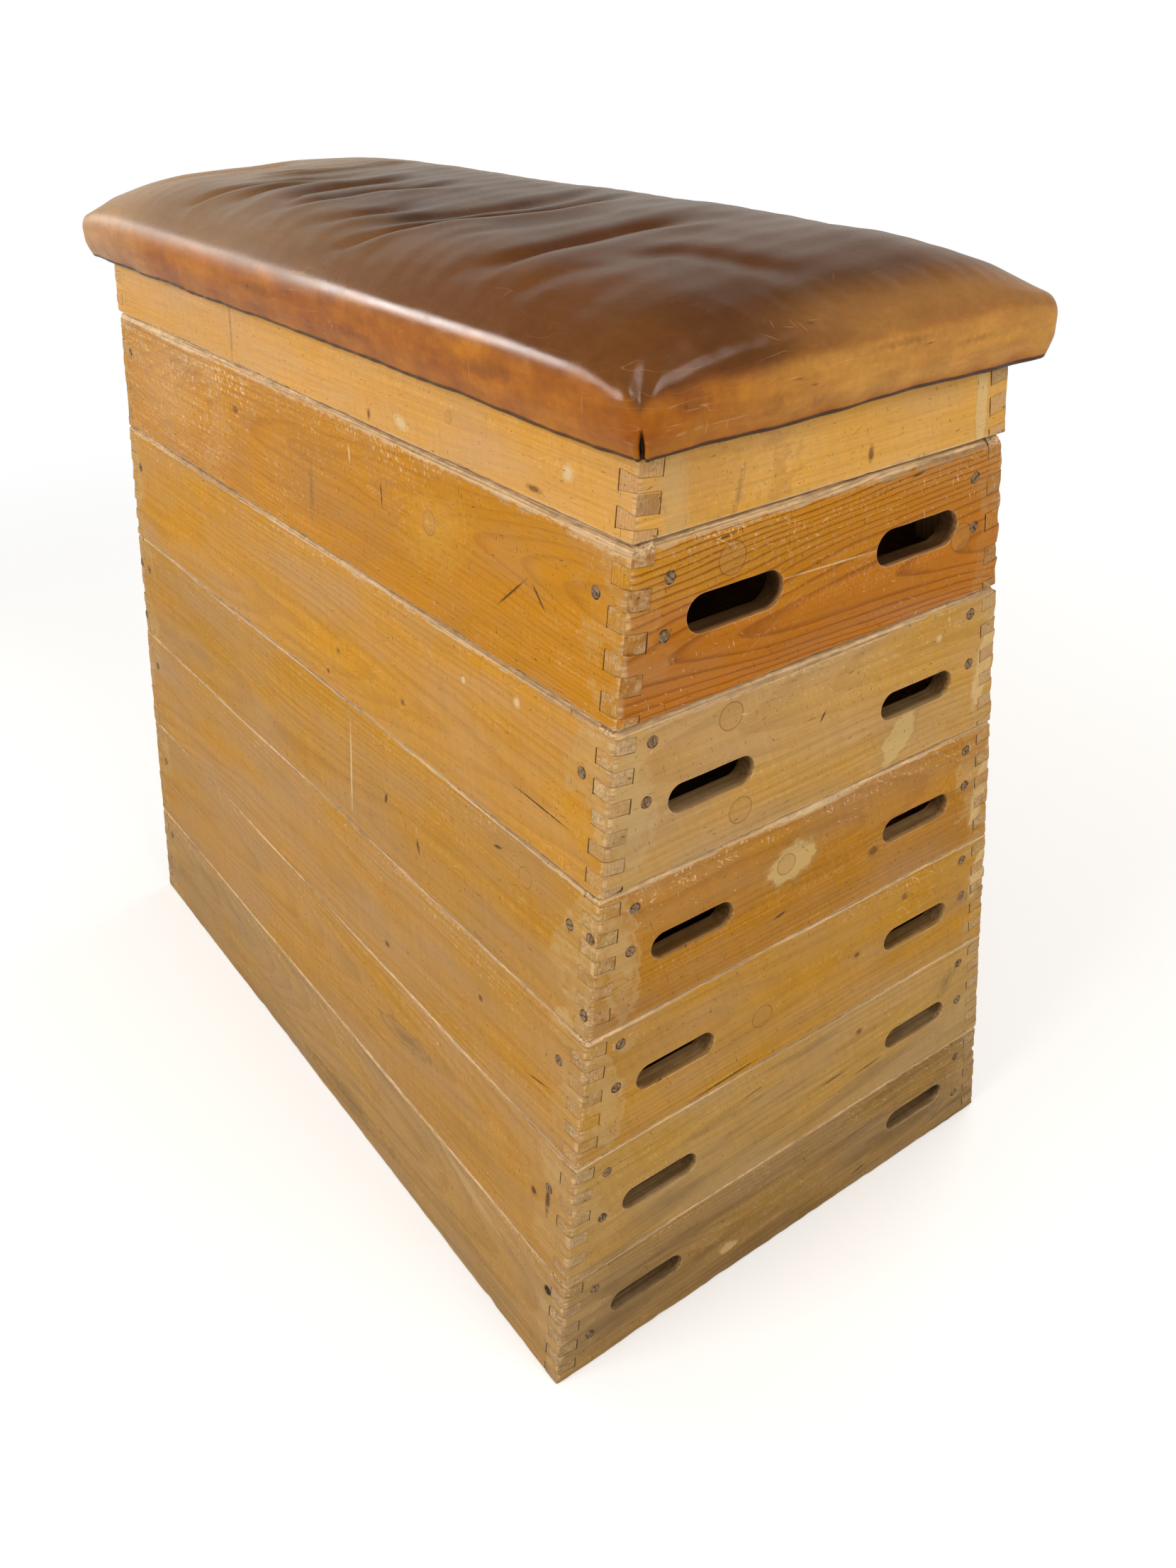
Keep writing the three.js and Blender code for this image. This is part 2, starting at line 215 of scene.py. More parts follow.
def makeFloor(spec):
    # One flat square. Seen by the camera or in a reflection it turns from lit paint into an even white with the
    # distance from the box, so that it shows white everywhere and keeps the shadow near the box. Reflections see it
    # dimmer, as the photographed room was. Inside the box it is dark: painted shade under the box.
    n = Nodes(bpy.data.materials.new("floor"))
    path = n.paths()
    mirrored = n.most(path["Is Glossy Ray"], path["Is Transmission Ray"])
    seen = n.most(path["Is Camera Ray"], mirrored)
    dimmed = n.times(mirrored, spec["dimmed"])
    spot = n.add("ShaderNodeTexCoord", output=3)
    away = n.vector("LENGTH", spot, output=1)
    x, y, _ = n.split(n.vector("ABSOLUTE", spot))
    outside = n.most(n.math("DIVIDE", x, spec["hollow"][0]), n.math("DIVIDE", y, spec["hollow"][1]))
    outside = n.math("GREATER_THAN", outside, 1.0)
    lift = n.times(seen, n.ramp(away, spec["near"], spec["far"], spec["lift"], 1.0))
    lift = n.times(n.times(lift, outside), n.math("SUBTRACT", 1.0, dimmed))
    tone = n.mix(n.times(seen, n.ramp(away, spec["near"], spec["far"])), spec["tone"], (0, 0, 0, 1))
    # inside the box the floor takes a dark colour, painted shade under the box
    tone = n.mix(outside, spec["insideShade"], n.mix(dimmed, tone, (0, 0, 0, 1)))
    material = n.finish(Base_Color=tone, Roughness=0.9, Emission_Color=(1, 1, 1, 1), Emission_Strength=lift,
                        Specular_IOR_Level=0.0)
    mesh = bpy.data.meshes.new("floor")
    corners = [(x * spec["half"], y * spec["half"], spec["level"]) for x, y in ((-1, -1), (1, -1), (1, 1), (-1, 1))]
    mesh.from_pydata(corners, [], [(0, 1, 2, 3)])
    mesh.materials.append(material)
    thing = bpy.data.objects.new("floor", mesh)
    scene.collection.objects.link(thing)


def makeWorld(spec):
    # An even soft light; the camera sees plain white, and reflections see it along the horizon and fading upwards
    world = bpy.data.worlds.new("studio")
    scene.world = world
    n = Nodes(world)
    n.tree.nodes.clear()
    path = n.paths()
    light = n.add("ShaderNodeBackground", {"Color": spec["light"], "Strength": spec["strength"]})
    tone = n.mix(path["Is Camera Ray"], spec["mirrored"], (1, 1, 1, 1))
    rise = n.split(n.add("ShaderNodeTexCoord"))[2]
    fade = n.ramp(rise, spec["low"], spec["high"], spec["horizon"], spec["overhead"])
    plain = n.add("ShaderNodeBackground", {"Color": tone, "Strength": n.most(path["Is Camera Ray"], fade)})
    seen = n.most(path["Is Camera Ray"], n.most(path["Is Glossy Ray"], path["Is Transmission Ray"]))
    n.add("ShaderNodeOutputWorld", {0: n.add("ShaderNodeMixShader", {0: seen, 1: light, 2: plain})}, None)


makeFloor(floorLook)
makeWorld(worldLook)
print("camera, lamps and floor made")


# The box's own sizes, as in its source

box = {"length": 1187, "baseWidth": 684, "topWidth": 413, "frameTop": 1010, "board": 23, "gap": 0.3}
leanShare = (box["baseWidth"] - box["topWidth"]) / 2 / box["frameTop"]
leanAngle = math.atan(leanShare)
halfLength = box["length"] / 2
sideRun = box["board"] / math.cos(leanAngle)
joints = {
    "finger": {"first": -1.2, "pitch": 28.8, "root": 14.4, "tip": 14.4},
    "wide": {"first": 27, "pitch": 36, "root": 18, "tip": 18},
    "dovetail": {"first": 28.5, "pitch": 28.5, "root": 17, "tip": 11},
}
slots = {"usual": {"long": 50, "tall": 15, "rise": 72}, "tall": {"long": 53, "tall": 17.5, "rise": 81}}
slotInset = 117
farFromSlot = 100.0  # stands for the distance to a slot where there is none near
# height, joint, hand slots, and how far the corners and the top ledge are worn
sectionRows = {
    "section_1": (150, "finger", "usual", 3.4, 3.6),
    "section_2": (160, "finger", "usual", 2.8, 3.0),
    "section_3": (155, "finger", "usual", 2.8, 3.4),
    "section_4": (154, "finger", "usual", 3.0, 4.4),
    "section_5": (160, "finger", "usual", 3.4, 6.5),
    "section_6": (157, "wide", "tall", 5.4, 10.0),
    "top": (74, "dovetail", None, 1.8, 1.2),
}
sections = {
    name: dict(zip(("height", "joint", "slot", "round", "ledge"), row),
               body={"section_1": "root", "top": "top_section"}.get(name, name), wood="wood_" + name)
    for name, row in sectionRows.items()
}
floorLevel = 0
for section in sections.values():
    section["bottom"] = floorLevel
    floorLevel += section["height"]
ends = {"front": 1, "back": -1}
sides = {"left": 1, "right": -1}


def halfWidth(z):
    return box["baseWidth"] / 2 - leanShare * z


def ripples(points, wavelength, seed, count=8):
    # Smooth noise from about -1 to 1: the sum of sine waves in random directions, near one wavelength.
    rng = np.random.default_rng(seed)
    waves = rng.normal(size=(count, 3))
    waves /= np.linalg.norm(waves, axis=1, keepdims=True)
    waves *= 2 * np.pi / (wavelength * rng.uniform(0.6, 1.7, (count, 1)))
    phases = rng.uniform(0, 2 * np.pi, count)
    return np.sin(points @ waves.T + phases).sum(-1) / math.sqrt(count)


def meshOf(name, points, quads, attributes=(), sharp=38, polygons=()):
    # A smooth mesh in metres from millimetre points and quads, turned outwards by its signed volume.
    mesh = bpy.data.meshes.new(name)
    corner = points[quads]
    volume = np.einsum("ij,ij->i", corner[:, 0], np.cross(corner[:, 1], corner[:, 2])).sum()
    volume += np.einsum("ij,ij->i", corner[:, 0], np.cross(corner[:, 2], corner[:, 3])).sum()
    if volume < 0:
        quads = quads[:, ::-1]
        polygons = [loop[::-1] for loop in polygons]
    sizes = np.array([4] * len(quads) + [len(loop) for loop in polygons])
    loops = np.concatenate([quads.ravel(), *[np.array(loop) for loop in polygons]])
    mesh.vertices.add(len(points))
    mesh.vertices.foreach_set("co", (points * mm).astype(np.float32).ravel())
    mesh.loops.add(len(loops))
    mesh.loops.foreach_set("vertex_index", loops.astype(np.int32))
    mesh.polygons.add(len(sizes))
    mesh.polygons.foreach_set("loop_start", np.concatenate([[0], sizes.cumsum()[:-1]]).astype(np.int32))
    mesh.update(calc_edges=True)
    for key, values in dict(attributes).items():
        made = mesh.attributes.new(key, "FLOAT_VECTOR", "POINT")
        made.data.foreach_set("vector", values.astype(np.float32).ravel())
    mesh.shade_smooth()
    mesh.set_sharp_from_angle(angle=math.radians(sharp))
    return mesh


def place(mesh, body, material, replaced=()):
    thing = bpy.data.objects.new(mesh.name, mesh)
    scene.collection.objects.link(thing)
    mesh.materials.append(material)
    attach(thing, body)
    if replaced:
        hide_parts(*replaced)
    return thing


def gridSolid(keep, points):
    # Faces and used points of a plate: both skins over the kept cells, with walls round every border.
    # points has one layer of grid points for each depth, keep is true for each cell that is wood.
    layers, wide, tall = points.shape[:3]
    padded = np.zeros((wide + 1, tall + 1), bool)
    padded[1:-1, 1:-1] = keep
    four = np.stack([padded[:-1, :-1], padded[1:, :-1], padded[:-1, 1:], padded[1:, 1:]])
    used = four.any(0)
    rim = used & ~four.all(0)
    need = np.zeros((layers, wide, tall), bool)
    need[1:-1] = rim
    need[0] = need[-1] = used
    index = np.full(need.shape, -1)
    index[need] = np.arange(need.sum())
    i, j = np.nonzero(keep)
    front = [index[0, i + a, j + b] for a, b in ((0, 0), (1, 0), (1, 1), (0, 1))]
    rear = [index[-1, i + a, j + b] for a, b in ((0, 0), (0, 1), (1, 1), (1, 0))]
    quads = [np.stack(front, 1), np.stack(rear, 1)]
    borders = {(0, -1): ((0, 0), (1, 0)), (1, 0): ((1, 0), (1, 1)), (0, 1): ((1, 1), (0, 1)), (-1, 0): ((0, 1), (0, 0))}
    for (di, dj), (first, second) in borders.items():
        i, j = np.nonzero(keep & ~padded[1 + di:wide + di, 1 + dj:tall + dj])
        a = index[:, i + first[0], j + first[1]]
        b = index[:, i + second[0], j + second[1]]
        walls = np.stack([b[:-1], a[:-1], a[1:], b[1:]], -1)
        quads.append(walls.reshape(-1, 4))
    return np.concatenate(quads), need, rim


# Boards: plates with finger joints, worn round at every edge

edgeSteps = np.array([0, 0.5, 1.2, 2.3, 4, 6.5, 10, 15])
depthSteps = np.array([0, 0.5, 1.2, 2.3, 4, 6.5, 10, 16, 21.6, 22.5, 23])
# Radii and depths in millimetres; a wave is (share, wavelength)
wear = {"wave": 0.35, "waves": ((0.8, 170), (0.6, 34), (0.45, 13)), "lowerShare": 0.8, "cornerShare": 1.8,
        "blend": 1.5, "least": 0.5, "chip": 3.4, "chipSpacing": 40, "chipLevel": 0.75, "groove": 0.42,
        "grooveWave": (0.5, 9), "tipStep": 0.5, "innerEdge": 0.9, "slotEdge": 1.1, "slotWave": (0.25, 30),
        "slotRing": 16}
# Even columns of a long board, how far inside its joints they end, the height of an even row, the least distance
# between rows, and how near to a board's edge a finger's side may lie
boardGrid = {"columns": 190, "inset": 12, "row": 9.0, "apart": 0.5, "edge": 0.8}


def rowTable(section, growth, wanted):
    # Rows of a board's grid: heights at the joint's inner corner, at a finger's root and tip, and which rows of
    # cells are the end board's pins. Pins stand square to the leaning side, so rows drop going inwards.
    spec = joints[section["joint"]]
    height = section["height"] - box["gap"]
    drop = box["board"] * math.sin(leanAngle)
    anchors, pins = [(0, 0, 0), (height, height, 0)], []
    down = spec["first"]
    while down - spec["root"] / 2 < height:
        reach = [(spec[key] / 2 + growth) * math.cos(leanAngle) for key in ("root", "tip")]
        pins.append((height - down - reach[0] - drop, height - down + reach[0] - drop))
        for way in (-1, 1):
            root, tip = (height - down + way * r for r in reach)
            if root - drop > boardGrid["edge"] and max(root, tip) < height - boardGrid["edge"]:
                anchors.append((root, tip, drop))
        down += spec["pitch"]
    table = np.array(sorted(anchors))
    nominal = table[:, 0] - table[:, 2]
    levels = list(nominal)
    for value in sorted(wanted):
        if 0 < value < height and min(abs(value - other) for other in levels) > boardGrid["apart"]:
            levels.append(value)
    levels = np.sort(levels)
    root, tip, fall = (np.interp(levels, nominal, column) for column in table.T)
    middle = (levels[1:] + levels[:-1]) / 2
    isPin = np.any([(middle > low) & (middle < high) for low, high in pins], axis=0)
    return {"levels": levels, "root": root, "tip": tip, "fall": fall, "isPin": isPin, "anchors": nominal}


def wantedRows(section, extra=()):
    # Heights where a board's grid wants rows: both edges, both sides of each joint line, and evenly between
    height = section["height"] - box["gap"]
    top = height - edgeSteps * max(section["ledge"] / 4, 1)
    groove = [level + step for level in rowTable(section, 0, ())["anchors"][1:-1] for step in (-1.0, 1.0)]
    return [*extra, *edgeSteps, *top, *groove, *np.arange(8, height, boardGrid["row"])]


def roundCorner(first, second, radius):
    # How far a point moves along two directions, when the edge between two faces is worn to a radius: a point
    # nearer than the radius to both faces is drawn to the arc. first and second are distances to the faces.
    a, b = np.maximum(radius - first, 0), np.maximum(radius - second, 0)
    reach = np.hypot(a, b)
    share = np.where(reach > radius, 1 - radius / np.maximum(reach, 1e-9), 0)
    return a * share, b * share


def wornForm(points, section, depth, seed):
    # Wears a section's outer edges: the three faces that meet at an edge are rounded by a radius that
    # wanders along it, with chips here and there.
    x, y, z = np.moveaxis(points, -1, 0)
    low, high = section["bottom"], section["bottom"] + section["height"] - box["gap"]
    toEnd = halfLength - np.abs(x)
    toSide = (halfWidth(z) - np.abs(y)) * math.cos(leanAngle)
    toTop, toBottom = high - z, z - low
    waves = [share * ripples(points, length, seed + k) for k, (share, length) in enumerate(wear["waves"])]
    waver = 1 + wear["wave"] * (waves[0] + waves[1] + waves[2])
    chip = wear["chip"] * np.clip(ripples(points, wear["chipSpacing"], seed + 3) - wear["chipLevel"], 0, 1.2)
    outer = np.minimum(toEnd, toSide)
    radii = [(toTop, section["ledge"]), (toBottom, section["round"] * wear["lowerShare"])]
    radii.append((np.hypot(toEnd, toSide), section["round"] * wear["cornerShare"]))
    weights = [1 / (near + wear["blend"]) ** 2 for near, _ in radii]
    radius = sum(w * r for w, (_, r) in zip(weights, radii)) / sum(weights)
    radius = np.maximum(radius * waver + chip, wear["least"])
    a = np.maximum(radius - toEnd, 0)
    b = np.maximum(radius - toSide, 0)
    upDown = np.minimum(toTop, toBottom)
    c = np.maximum(radius - upDown, 0)
    reach = np.sqrt(a * a + b * b + c * c)
    share = np.where(reach > radius, 1 - radius / np.maximum(reach, 1e-9), 0)
    share = np.where(outer > radius, 0, share)
    x = x - np.sign(x) * a * share
    y = y - np.sign(y) * b * share
    z = z - np.where(toTop < toBottom, 1, -1) * c * share
    # inner edges, only just broken
    inward, along = roundCorner(box["board"] - depth, upDown, wear["innerEdge"])
    z = z - np.where(toTop < toBottom, 1, -1) * along
    return np.stack([x, y, z], -1), inward


def finishBoard(name, section, material, seed, grid, worn, solid, rows, face, columns, toEdge, toSlot):
    # Both kinds of board: the border of each finger is broken inwards and each tip stands a little in or out.
    # The attributes tell the material where a point lies on its board, and on which finger.
    points, depth = grid
    quads, need, rim = solid
    axis, way = face
    signs, atTip, inJoint = columns
    along = 1 - axis
    # grid points on the outline of a finger; the tip's own column takes the rows of the column beside it
    onJoint = rim & inJoint[:, None]
    onJoint[0], onJoint[-1] = rim[1], rim[-2]
    onJoint[:, [0, -1]] = False
    share, length = wear["grooveWave"]
    bite = wear["groove"] * (1 + share * ripples(points, length, seed + 5))
    worn[0, ..., axis] -= way * (bite[0] * onJoint)
    finger = np.cumsum(np.concatenate([[0], np.abs(np.diff(rows["isPin"].astype(int))), [0]]))
    count = (2, finger.max() + 2)
    steps = np.random.default_rng(seed + 7).uniform(0, wear["tipStep"], count)
    for index in np.nonzero(atTip)[0]:
        step = steps[int(signs[index] > 0)][finger]
        worn[:, index, :, along] -= signs[index] * (step + bite[:, index] * onJoint[index])
    tone, chance = np.random.default_rng(seed + 8).uniform(0, 1, count)[:, finger]
    taken = np.append(rows["isPin"], rows["isPin"][-1]) == (axis == 1)
    up = points[..., 2] - section["bottom"]
    parts = {
        "grain": (points[..., along] * mm, up * mm, depth * mm),
        "edges": ((section["height"] - up) * mm, up * mm, toEdge * mm),
        "kind": (atTip[None, :, None] * 1.0, toSlot * mm, 0.0),
        "finger": (tone, taken * 1.0, chance),
    }
    attributes = {key: np.stack([np.broadcast_to(part, up.shape) for part in three], -1)[need]
                  for key, three in parts.items()}
    mesh = meshOf(name + "_worn", worn[need], quads, attributes)
    return place(mesh, section["body"], material, [name])


def sideBoard(name, section, side, material, seed):
    # A leaning long board: length, height and depth on a grid, without the cells where pins pass through.
    thick = box["board"]
    rows = rowTable(section, box["gap"], wantedRows(section))
    nearEnd = np.concatenate([edgeSteps, [19, thick - 0.8, thick + box["gap"], thick + 1.6, thick + 4, thick + 8]])
    reach = halfLength - thick - boardGrid["inset"]
    run = np.linspace(-reach, reach, boardGrid["columns"])
    xs = np.concatenate([-halfLength + nearEnd, run, (halfLength - nearEnd)[::-1]])
    depth, x, _ = np.meshgrid(depthSteps, xs, rows["levels"], indexing="ij")
    share = np.clip((np.abs(x) - halfLength + thick) / thick, 0, 1)
    z = section["bottom"] + rows["root"] + (rows["tip"] - rows["root"]) * share - rows["fall"] * depth / thick
    y = side * (halfWidth(z) - sideRun * depth / thick)
    points = np.stack([x, y, z], -1)
    middle = np.abs((xs[1:] + xs[:-1]) / 2)
    keep = ~((middle > halfLength - thick - box["gap"])[:, None] & rows["isPin"][None])
    worn, inward = wornForm(points, section, depth, seed)
    worn[..., 1] += side * inward
    columns = np.sign(xs), np.abs(np.abs(xs) - halfLength) < 0.01, np.abs(xs) > halfLength - thick - 1
    return finishBoard(name, section, material, seed, (points, depth), worn, gridSolid(keep, points), rows, (1, side),
                       columns, halfLength - np.abs(x), farFromSlot)


def slotOutline(across, up, longHalf, tallHalf, margin):
    # Draws a rectangular grid round a slot with round ends: rings of grid points between a rectangle a margin
    # outside the slot and the slot's own outline, matched by their share of the way round.
    level = np.maximum((np.abs(across) - longHalf) / margin, (np.abs(up) - tallHalf) / margin)
    inZone = level < 1
    level = np.clip(level, 0, 1)
    wide, high = longHalf + level * margin, tallHalf + level * margin
    straight = longHalf - tallHalf
    onShort = np.abs(across) / wide >= np.abs(up) / high
    angle = np.clip(up / high, -1, 1) * math.pi / 4
    travel = np.clip(np.abs(across) / wide, 0, 1) * (straight + tallHalf * math.pi / 4)
    bend = np.maximum(travel - straight, 0) / tallHalf
    onLong = np.minimum(travel, straight) + tallHalf * np.sin(bend)
    outX = np.where(onShort, straight + tallHalf * np.cos(angle), onLong)
    outY = np.where(onShort, tallHalf * np.sin(angle), tallHalf * np.cos(bend) * np.sign(up))
    newX = outX * np.sign(across) + level * (across - outX * np.sign(across))
    newY = outY + level * (up - outY)
    return np.where(inZone, newX, across), np.where(inZone, newY, up)


def fromSlot(y, z, centre, level, spec):
    # Offsets and distance of points from the middle line of a slot's round-ended outline
    straight = spec["long"] - spec["tall"]
    dy, dz = y - centre - np.clip(y - centre, -straight, straight), z - level
    return dy, dz, np.maximum(np.hypot(dy, dz), 1e-6)


def endBoard(name, section, end, material, seed):
    # An upright end board: width, height and depth on a grid, without its slots and the side boards' fingers.
    thick = box["board"]
    spec = slots.get(section["slot"])
    ring = wear["slotRing"]
    extra, fixed = [], np.arange(-60, 61, 8.0)
    if spec:
        centre = halfWidth(section["bottom"] + spec["rise"]) - slotInset
        offsets = np.array([0, 1.6, 4, 7.5, 11.5, ring])
        around = np.concatenate([spec["tall"] + offsets, np.linspace(0, spec["tall"], 7)[:-1]])
        extra = [*(spec["rise"] + around), *(spec["rise"] - around)]
        insideSlot = spec["long"] - np.concatenate([np.arange(0, 21, 2.5), np.arange(26, spec["long"], 8)])
        across = np.concatenate([spec["long"] + offsets, insideSlot, [0]])
        slotLines = np.unique(np.round(np.concatenate([centre + across, centre - across]), 3))
        inner = centre - spec["long"] - ring
        between = np.linspace(-inner, inner, max(int(inner / 3.5), 3) | 1)[1:-1]
        fixed = np.unique(np.concatenate([-slotLines, between, slotLines]))
    reach = fixed.max()
    rows = rowTable(section, 0, wantedRows(section, extra))
    # columns as (fixed place, share of the way to the shoulder, share of the way through the side board)
    finger = np.concatenate([edgeSteps, [19, thick - 0.8, thick]])[::-1]
    toShoulder = np.linspace(0, 1, 5)[1:-1]
    outer = [(reach, u, 0.0) for u in toShoulder] + [(reach, 1.0, 1 - e / thick) for e in finger]
    columns = [(-b, u, t) for b, u, t in outer[::-1]] + [(b, 0.0, 0.0) for b in fixed] + outer
    columns = np.array(columns)
    sign = np.sign(columns[:, 0] + 1e-6)
    depth, base, _ = np.meshgrid(depthSteps, np.abs(columns[:, 0]), rows["levels"], indexing="ij")
    toward = columns[:, 1][None, :, None]
    through = columns[:, 2][None, :, None]
    way = sign[None, :, None]
    z = rows["tip"] + (rows["root"] - rows["tip"]) * depth / thick - rows["fall"] * (1 - through)
    z = z + section["bottom"]
    shoulder = halfWidth(z) - sideRun - box["gap"]
    full = halfWidth(z) - (sideRun + box["gap"]) * (1 - through)
    y = way * np.where(through > 0, full, base + (shoulder - base) * toward)
    keep = np.ones((len(columns) - 1, len(rows["levels"]) - 1), bool)
    zone = (np.minimum(columns[1:, 2], columns[:-1, 2]) >= 0) & (np.maximum(columns[1:, 2], columns[:-1, 2]) > 0)
    keep &= ~(zone[:, None] & ~rows["isPin"][None])
    toSlot = farFromSlot
    if spec:
        level = section["bottom"] + spec["rise"]
        midColumn = (columns[1:, 0] + columns[:-1, 0]) / 2
        midRow = (rows["levels"][1:] + rows["levels"][:-1]) / 2
        for s in (1, -1):
            inWide = (np.abs(midColumn - s * centre) < spec["long"]) & ~zone
            inTall = np.abs(midRow - spec["rise"]) < spec["tall"]
            keep &= ~(inWide[:, None] & inTall[None])
            across, up = slotOutline(y - s * centre, z - level, spec["long"], spec["tall"], ring)
            flat = np.broadcast_to((through == 0) & (toward == 0), y.shape)
            y, z = np.where(flat, across + s * centre, y), np.where(flat, up + level, z)
            away = fromSlot(y, z, s * centre, level, spec)[2]
            toSlot = np.minimum(toSlot, np.where(flat, np.maximum(away - spec["tall"], 0), farFromSlot))
    x = end * (halfLength - depth)
    points = np.stack([x, y, z], -1)
    worn, inward = wornForm(points, section, depth, seed)
    worn[..., 0] += end * inward
    if spec:
        # worn rim: face and slot wall are rounded to each other
        share, length = wear["slotWave"]
        blunt = wear["slotEdge"] * (1 + share * ripples(points, length, seed + 4))
        for s in (1, -1):
            dy, dz, away = fromSlot(y, z, s * centre, level, spec)
            sink, out = roundCorner(np.minimum(depth, thick - depth), np.maximum(away - spec["tall"], 0), blunt)
            worn[..., 0] -= end * sink * np.where(depth < thick / 2, 1, -1)
            worn[..., 1] += out * dy / away
            worn[..., 2] += out * dz / away
    toArris = (halfWidth(z) - np.abs(y)) * math.cos(leanAngle)
    return finishBoard(name, section, material, seed, (points, depth), worn, gridSolid(keep, points), rows, (0, end),
                       (sign, columns[:, 2] > 0.999, columns[:, 1] >= 1), toArris, toSlot)


# Wood: rings round a hidden heart, fibres, a worn varnish, and what years of use left on each board, with painted
# shade in the seams, in the slots and on the inner faces.
# Spots are (kind, along, up, half length, half height, turn in degrees), in millimetres from the board's middle
# and its section's floor line.
woodLooks = {
    "section_1": {
        "side": {"tint": (176, 141, 103), "mark": 0.18, "dirtAndShade": 0.35},
        "end": {"tint": (160, 128, 89), "mark": 0.2, "dirtAndShade": 0.8}, "rings": 4.6, "figure": 0.03, "sharp": 0.3,
        "wear": 4.6, "gloss": 0.5, "fill": 0.5, "tip": 0.4},
    "section_2": {
        "side": {"tint": (185, 141, 87), "mark": 0.16, "dirtAndShade": 0.25},
        "end": {"tint": (187, 150, 99), "mark": 0.18, "dirtAndShade": 0.7}, "rings": 5.0, "figure": 0.04, "sharp": 0.3,
        "wear": 3.8, "gloss": 0.48, "fill": 0.55, "tip": 0.35},
    "section_3": {
        "side": {"tint": (189, 143, 85), "mark": 0.2, "dirtAndShade": 0.2},
        "end": {"tint": (193, 144, 66), "mark": 0.2, "dirtAndShade": 0.35}, "rings": 5.5, "figure": 0.04, "sharp": 0.3,
        "wear": 4.2, "gloss": 0.42, "fill": 0.6, "tip": 0.35},
    "section_4": {
        "side": {"tint": (189, 141, 73), "mark": 0.22, "dirtAndShade": 0.18},
        "end": {"tint": (184, 130, 54), "mark": 0.24, "dirtAndShade": 0.3}, "rings": 5.0, "figure": 0.04, "sharp": 0.4,
        "wear": 4.8, "gloss": 0.4, "fill": 0.8, "tip": 0.3},
    "section_5": {
        "side": {"tint": (198, 146, 73), "mark": 0.18, "dirtAndShade": 0.12},
        "end": {"tint": (198, 157, 107), "mark": 0.18, "dirtAndShade": 0.2}, "rings": 6.0, "figure": 0.04, "sharp": 0.3,
        "wear": 7.0, "gloss": 0.42, "fill": 0.75, "tip": 0.25},
    "section_6": {
        "side": {"tint": (197, 134, 12), "mark": 0.3, "dirtAndShade": 0.2},
        "end": {"tint": (190, 116, 0), "mark": 0.85, "dirtAndShade": 0.2, "upper": (196, 136, 50)}, "rings": 4.3,
        "figure": 0.0, "inner": 0.9, "nicked": 0.07, "sharp": 0.55, "wear": 10.5, "gloss": 0.36, "fill": 0.4,
        "tip": 0.3},
    "top": {
        "side": {"tint": (215, 164, 107), "mark": 0.05, "dirtAndShade": 0.1},
        "end": {"tint": (224, 174, 112), "mark": 0.05, "dirtAndShade": 0.1}, "rings": 4.0, "figure": 0.03, "sharp": 0.3,
        "wear": 1.4, "gloss": 0.46, "fill": 0.2, "tip": 0.6},
}
rawWood = {"pale": (240, 202, 152), "grey": (178, 140, 98), "dark": (54, 34, 16), "filler": (198, 162, 104)}
rawWood = {name: linear(tone) for name, tone in rawWood.items()}
# colour, rim's colour, softness, waver of the outline, opacity, and whether the rings bend round it
spotLooks = {
    "knot": ((104, 60, 24), (120, 74, 32), 0.5, 0.6, 0.8, 1),
    "plug": ((182, 132, 68), (112, 74, 34), 0.06, 0.06, 0.35, 0),
    "filler": ((212, 180, 116), (176, 138, 84), 0.22, 1.0, 0.72, 0),
    "film": ((204, 176, 124), (204, 176, 124), 0.5, 1.0, 0.36, 0),
    "pale": ((226, 198, 150), (226, 198, 150), 0.5, 0.7, 0.75, 0),
    "yellow": ((206, 152, 50), (206, 152, 50), 0.7, 1.5, 0.5, 0),
    "cream": ((226, 190, 130), (200, 160, 104), 0.2, 0.8, 0.8, 0),
    "shade": ((176, 124, 62), (176, 124, 62), 1.0, 0.9, 0.42, 0),
    "haze": ((206, 160, 104), (206, 160, 104), 1.0, 0.9, 0.45, 0),
    "dark": ((66, 42, 20), (66, 42, 20), 0.4, 0.7, 0.85, 0),
    "smear": ((112, 92, 62), (112, 92, 62), 0.9, 1.1, 0.5, 0),
    # an empty screw hole: its dark middle is painted shade in the hole, round it a rim
    "shadedHole": ((30, 20, 11), (120, 84, 46), 0.12, 0.1, 1.0, 0),
}
